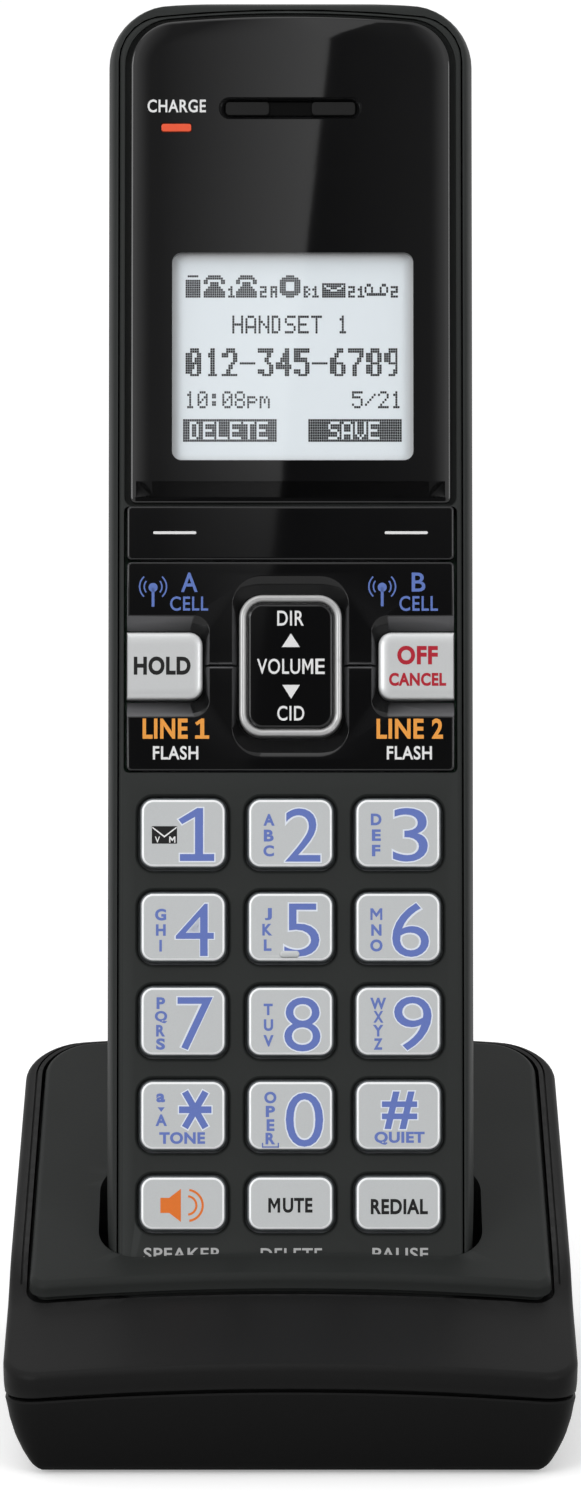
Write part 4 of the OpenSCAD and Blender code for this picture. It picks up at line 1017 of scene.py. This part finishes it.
def well(name, grow, z0, z1):
    """Straight well along the handset's axis."""
    ring = rounded(0, foot_t/2, handset_w + 2.2 + 2*grow, foot_t + 2.2 + 2*grow, 6 + grow, 14)
    return loft(name, [[stand(x, y, z) for x, y in ring] for z in (z0, z1)])


def post(name, x, y, r, z0, z1):
    return loft(name, [level(disc(x, y, r), z) for z in (z0, z1)])


quarter_turn = [math.radians(k) for k in range(0, 91, 15)]
top_edge_r = 0.8
rings = [parting(cradle_plan(inset), up) for inset, up in ((0.35, 0.1), (0.18, 0.3), (0.05, 1.4))]
rings.append(raised(cradle_plan(0), -1.5))
rings += [raised(cradle_plan(top_edge_r*(1 - math.cos(a))), -top_edge_r + top_edge_r*math.sin(a)) for a in quarter_turn]
rings += [raised(cradle_plan(1.6), 0), raised(cradle_plan(2.6), 0)]
rings += [raised(shrunk(cradle_plan(2.6), k)) for k in (0.93, 0.85, 0.77, 0.7, 0.63, 0.56, 0.4, 0.25, 0.1)]
top_shell = loft("cradle_top", rings)
shell_in, shell_roof = 2.2, 2.5
within = cradle_plan(shell_in)
cut(top_shell, loft("hollow", [level(within, 5), roof(within, -shell_roof)] + towards_middle(within, -shell_roof)))


def screw_places(side):
    """Where the two screws of one side stand in the plan."""
    x = cradle_w/2 - 7.4
    return (side*x, 9.0), (side*(x - 1.5), cradle_d - 10)


for side in (-1, 1):
    for x, y in screw_places(side):
        pillar = post("pillar", x, y, 3, 7.1, roof_z(x, y) - 1.6)
        cut(pillar, post("pilot", x, y, 1.2, 5, 14))
        cut(top_shell, pillar, "UNION")
inlet_z, inlet_r = 19, 4.1
inlet = disc(0, inlet_z, inlet_r, 48, 0.4)
cut(top_shell, loft("inlet", [[desk(x, y, z) for x, z in inlet] for y in (cradle_d - 9, cradle_d + 3)]))
seat_gap, seat_forward, seat_depth = 0.4, 0.3, 1.2
cut(top_shell, sunk("deck_seat", deck_plan(-seat_gap, seat_forward), seat_depth))
groove = sunk("groove", deck_plan(-1.26), 0.4, raised)
cut(groove, loft("groove_middle", [level(deck_plan(-0.99), z) for z in (2, 70)]))
cut(groove, loft("groove_front", [level(oblong(-60, -5, 60, 20.7), z) for z in (5, 60)]))
cut(top_shell, groove)
cut(top_shell, well("pocket_passage", 1.9, -12, 60))
# Its lighter edges are partly wear and partly a painted highlight along the roof's front edge
satin_black = plastic("satin_black", (0.0106, 0.0106, 0.0106), 0.42, 0.0005, 0.000012, 0.06, wear=0.5,
                      wear_and_sheen_colour=(0.05, 0.05, 0.05), specular=0.08)
finish(top_shell, satin_black, "cradle", "cradle_top_shell")


# === Deck of the cradle ===
# Raised charcoal deck let into the top shell. The leaning pocket for the handset
# is moulded with it and has a soft lip.

deck_edge_r = 0.85
rings = towards_middle(deck_plan(0.9), -0.48)[::-1]
rings += [roof(deck_plan(inset), up) for inset, up in ((0.9, -0.48), (0.9, 0.36), (0, 0.4), (0.05, 1.0))]
rings += [roof(deck_plan(0.05 + deck_edge_r*(1 - math.cos(a))), 1.35 + deck_edge_r*math.sin(a)) for a in quarter_turn]
rings += towards_middle(deck_plan(0.9), deck_rise)
deck = loft("deck", rings)
tub = well("tub", 1.6, -2.3, 60)
cut(tub, loft("above", [[desk(x, y, roof_z(0, y) + up) for x, y in oblong(-60, -20, 60, 120)] for up in (0.35, 80)]))
cut(deck, tub, "UNION")
cut(deck, well("pocket", 0, -0.3, 80))
for side in (-1, 1):
    cut(deck, loft("contact_slot", [[stand(x, y, z) for x, y in disc(side*contact_x, 6, 1.6)] for z in (-8, 4)]))


def soften_mouth(piece, size):
    """Rounds the edge where the pocket breaks through the deck's top."""
    bm = bmesh.new()
    bm.from_mesh(piece.data)
    bmesh.ops.remove_doubles(bm, verts=bm.verts, dist=0.00002)
    picked = []
    for e in bm.edges:
        on_top = all(abs(v.co.z*1000 - roof_z(v.co.x*1000, v.co.y*1000 - front_y) - deck_rise/math.cos(slope)) < 0.06
                     for v in e.verts)
        if on_top and len(e.link_faces) == 2 and e.calc_face_angle(0) > math.radians(35):
            picked.append(e)
    bmesh.ops.bevel(bm, geom=picked, offset=size/1000, segments=3, profile=0.5, affect="EDGES", clamp_overlap=True)
    bm.to_mesh(piece.data)
    bm.free()
    shade(piece, 40)


mouth_bevel = 0.45
soften_mouth(deck, mouth_bevel)
deck_charcoal = plastic("deck_charcoal", (0.0178, 0.0194, 0.0186), 0.5, wear=0.2, wear_and_sheen_colour=(0.05, 0.053, 0.053),
                        specular=0.1)
finish(deck, deck_charcoal, "cradle", "cradle_deck")


# === Base tray of the cradle ===
# Satin black tray under the parting line, with full round flanks. A tongue
# locates the top shell and four bosses take its screws.

layers = [(5.2, 0.6), (4.6, 0.8), (4.15, 1.1), (3.8, 1.4), (3.35, 1.95), (3.0, 2.5), (2.55, 3.2), (2.2, 3.9),
          (1.82, 4.65), (1.5, 5.4), (1.15, 6.5), (0.8, 7.6), (0.5, 9.2)]


def skirt(inset):
    """Outline of the tray, whose front face is fuller than its flanks."""
    return [(x, y - 0.4*inset*(1 - step(inset, inset + 14, y))) for x, y in cradle_plan(inset)]


rings = [level(skirt(inset), z) for inset, z in layers]
tray = loft("tray", rings + [parting(skirt(0.25), -0.65), parting(skirt(0.6), -0.4)])
cut(tray, loft("tray_hollow", [level(cradle_plan(inset), z) for inset, z in ((4.8, 3), (4, 5), (3.5, 8), (3.5, 20))]))
tongue = loft("tongue", [level(cradle_plan(2.45), 7.6), parting(cradle_plan(2.45), 0.9)])
cut(tongue, loft("tongue_hollow", [level(cradle_plan(3.5), 7), level(cradle_plan(3.5), 16)]))
cut(tongue, loft("jack_notch", [level(oblong(-5, cradle_d - 6, 5, cradle_d), z) for z in (13.2, 22)]))
cut(tray, tongue, "UNION")
rubber_x, rubber_y = 28.0, 18.0
for side in (-1, 1):
    for x, y in screw_places(side):
        cut(tray, post("boss", x, y, 3.6, 2, 7), "UNION")
        cut(tray, post("screw_head_hole", x, y, 2.7, -1, 5))
        cut(tray, post("screw_hole", x, y, 1.4, 0, 10))
    for y in (cradle_d - 22, cradle_d - 10):
        cut(tray, post("board_post", side*12, y, 2.4, 2, 12), "UNION")
    for y in (rubber_y, cradle_d - rubber_y):
        cut(tray, post("foot_seat", side*rubber_x, y, 4.3, -1, 1.4))
tray_black = plastic("tray_black", (0.008, 0.008, 0.008), 0.45, 0.0005, 0.000014, 0.06, wear=0.25,
                     wear_and_sheen_colour=(0.02, 0.02, 0.02), specular=0.06)
finish(tray, tray_black, "cradle", "cradle_base_tray")


# === Working parts ===
# Circuit boards, mat, loudspeaker, cells, contacts, screws and feet keep their
# own solid shapes and take the finish of what they are made of.

board_green = plastic("board_green", (0.02, 0.11, 0.05), 0.4, 0.0015, 0.00001, 0.25, 0.3)
rubber = plastic("rubber", (0.012, 0.012, 0.012), 0.75, 0.0006, 0.00002, 0.1)
steel = plastic("screw_steel", (0.42, 0.42, 0.43), 0.3, 0.0004, 0.000004, 0.08, metallic=1.0)
gold = plastic("contact_gold", (0.72, 0.5, 0.18), 0.25, 0.0005, 0.000003, 0.06, metallic=1.0)
for node, material in {
        "earpiece_speaker": plastic("receiver_black", (0.012, 0.012, 0.013), 0.5),
        "keypad_mat": plastic("mat_rubber", (0.045, 0.047, 0.05), 0.6, 0.0008, 0.00001, 0.08),
        "handset_circuit_board": board_green, "charger_board": board_green,
        "loudspeaker": plastic("speaker_black", (0.015, 0.015, 0.016), 0.55),
        "microphone": plastic("microphone_can", (0.4, 0.4, 0.41), 0.35, 0.0005, 0.000005, 0.05, metallic=0.9),
        "battery_pack": plastic("cell_wrap", (0.03, 0.1, 0.32), 0.3, 0.002, 0.00001, 0.08, 0.3),
        "handset_charge_plates": gold, "charge_contact_left": gold, "charge_contact_right": gold,
        "handset_screws": steel, "cradle_screws": steel, "rubber_feet": rubber,
        "contact_holder": plastic("holder_black", (0.02, 0.02, 0.022), 0.5),
        "dc_jack": plastic("jack_black", (0.01, 0.01, 0.011), 0.4)}.items():
    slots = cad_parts[node].data.materials
    if not slots:
        slots.append(material)
    for i in range(len(slots)):
        slots[i] = material


# === Floor, cards, light and camera ===
# White floor that keeps a soft shadow. Two cards that only mirrors see put a dark
# and a grey field into the gloss pieces. One camera on a tripod, 13 degrees down.


def sheet_of(name, corners):
    mesh = bpy.data.meshes.new(name)
    mesh.from_pydata(corners, [], [(0, 1, 2, 3)])
    piece = placed(name, mesh)
    return piece


floor = sheet_of("floor", [(-8, -6, 0), (8, -6, 0), (8, 12, 0), (-8, 12, 0)])
paper, tree = material_tree("floor_paper", True)
seen = add(tree, "LightPath").outputs
shown = compute(tree, "MAXIMUM", seen["Is Camera Ray"], seen["Is Glossy Ray"])
tint = blend(tree, shown, (0.06, 0.06, 0.06, 1), (0.93, 0.93, 0.93, 1))
plain = add(tree, "BsdfDiffuse", {"Color": tint}).outputs["BSDF"]
glow = add(tree, "Emission", {"Color": (1, 1, 1, 1), "Strength": compute(tree, "MULTIPLY", seen["Is Camera Ray"], 0.3)})
total = add(tree, "AddShader", {0: plain, 1: glow.outputs["Emission"]}).outputs["Shader"]
wire(tree, tree.nodes["Material Output"], {"Surface": total})
floor.data.materials.append(paper)


def card(name, corners, low, high, start, end):
    """Card that only mirrors see. Its glow changes from start to end across it, and rises towards its sides and top."""
    piece = sheet_of(name, corners)
    piece.visible_camera = piece.visible_diffuse = piece.visible_transmission = piece.visible_shadow = False
    material, tree = material_tree(name, True)
    split = add(tree, "SeparateXYZ", {"Vector": add(tree, "TexCoord").outputs["Object"]}).outputs
    across, climb = ramp(tree, split["X"], start, end, low, high), ramp(tree, split["Z"], 1.42, 1.54, 0.12, 1.0)
    middle = compute(tree, "MULTIPLY", across, climb)
    sides = ramp(tree, compute(tree, "ABSOLUTE", split["X"]), 0.1, 0.55, 0.0, 0.9)
    glow = add(tree, "Emission", {"Strength": compute(tree, "ADD", middle, sides)})
    wire(tree, tree.nodes["Material Output"], {"Surface": glow.outputs["Emission"]})
    piece.data.materials.append(material)


card("dark_card", [(-0.1578, -3, 0), (1.5, -3, 0), (1.5, -3, 3), (0.144, -3, 3)], 0.0, 0.16, 0.0, 0.08)
card("grey_card", [(-1.5, -3.01, 0), (-0.1578, -3.01, 0), (0.144, -3.01, 3), (-1.5, -3.01, 3)], 0.2, 1.2, -0.07, 0.02)


def lamp(name, place, target, size, power):
    light = bpy.data.lights.new(name, "AREA")
    light.shape, light.size, light.energy = "DISK", size, power
    holder = placed(name, light)
    holder.location = place
    holder.rotation_euler = (Vector(target) - Vector(place)).to_track_quat("-Z", "Y").to_euler()


lamp("overhead", (-0.35, -0.35, 1.3), (0, 0, 0.08), 0.9, 2.4)
lamp("front", (-1.0, -1.25, 0.75), (0, 0, 0.1), 0.9, 8.0)
lamp("fill", (1.1, -1.2, 0.7), (0, 0, 0.1), 0.6, 4.0)

world = bpy.data.worlds.new("studio")
bpy.context.scene.world = world
world.use_nodes = True
tree = world.node_tree
seen = add(tree, "LightPath").outputs
shown = compute(tree, "MAXIMUM", seen["Is Camera Ray"], seen["Is Glossy Ray"])
shown = compute(tree, "MAXIMUM", shown, seen["Is Transmission Ray"])
wire(tree, tree.nodes["Background"], {"Color": (1, 1, 1, 1), "Strength": ramp(tree, shown, 0.0, 1.0, 0.75, 1.0)})

camera = placed("camera", bpy.data.cameras.new("camera"))
camera.location = (0, -1.1260, 0.3492)
camera.rotation_euler = (math.radians(77), 0, 0)
camera.data.sensor_fit, camera.data.sensor_height, camera.data.lens = "VERTICAL", 36, 203.136
camera.data.clip_start = 0.05
bpy.context.scene.camera = camera
bpy.context.scene.view_settings.view_transform = "Standard"
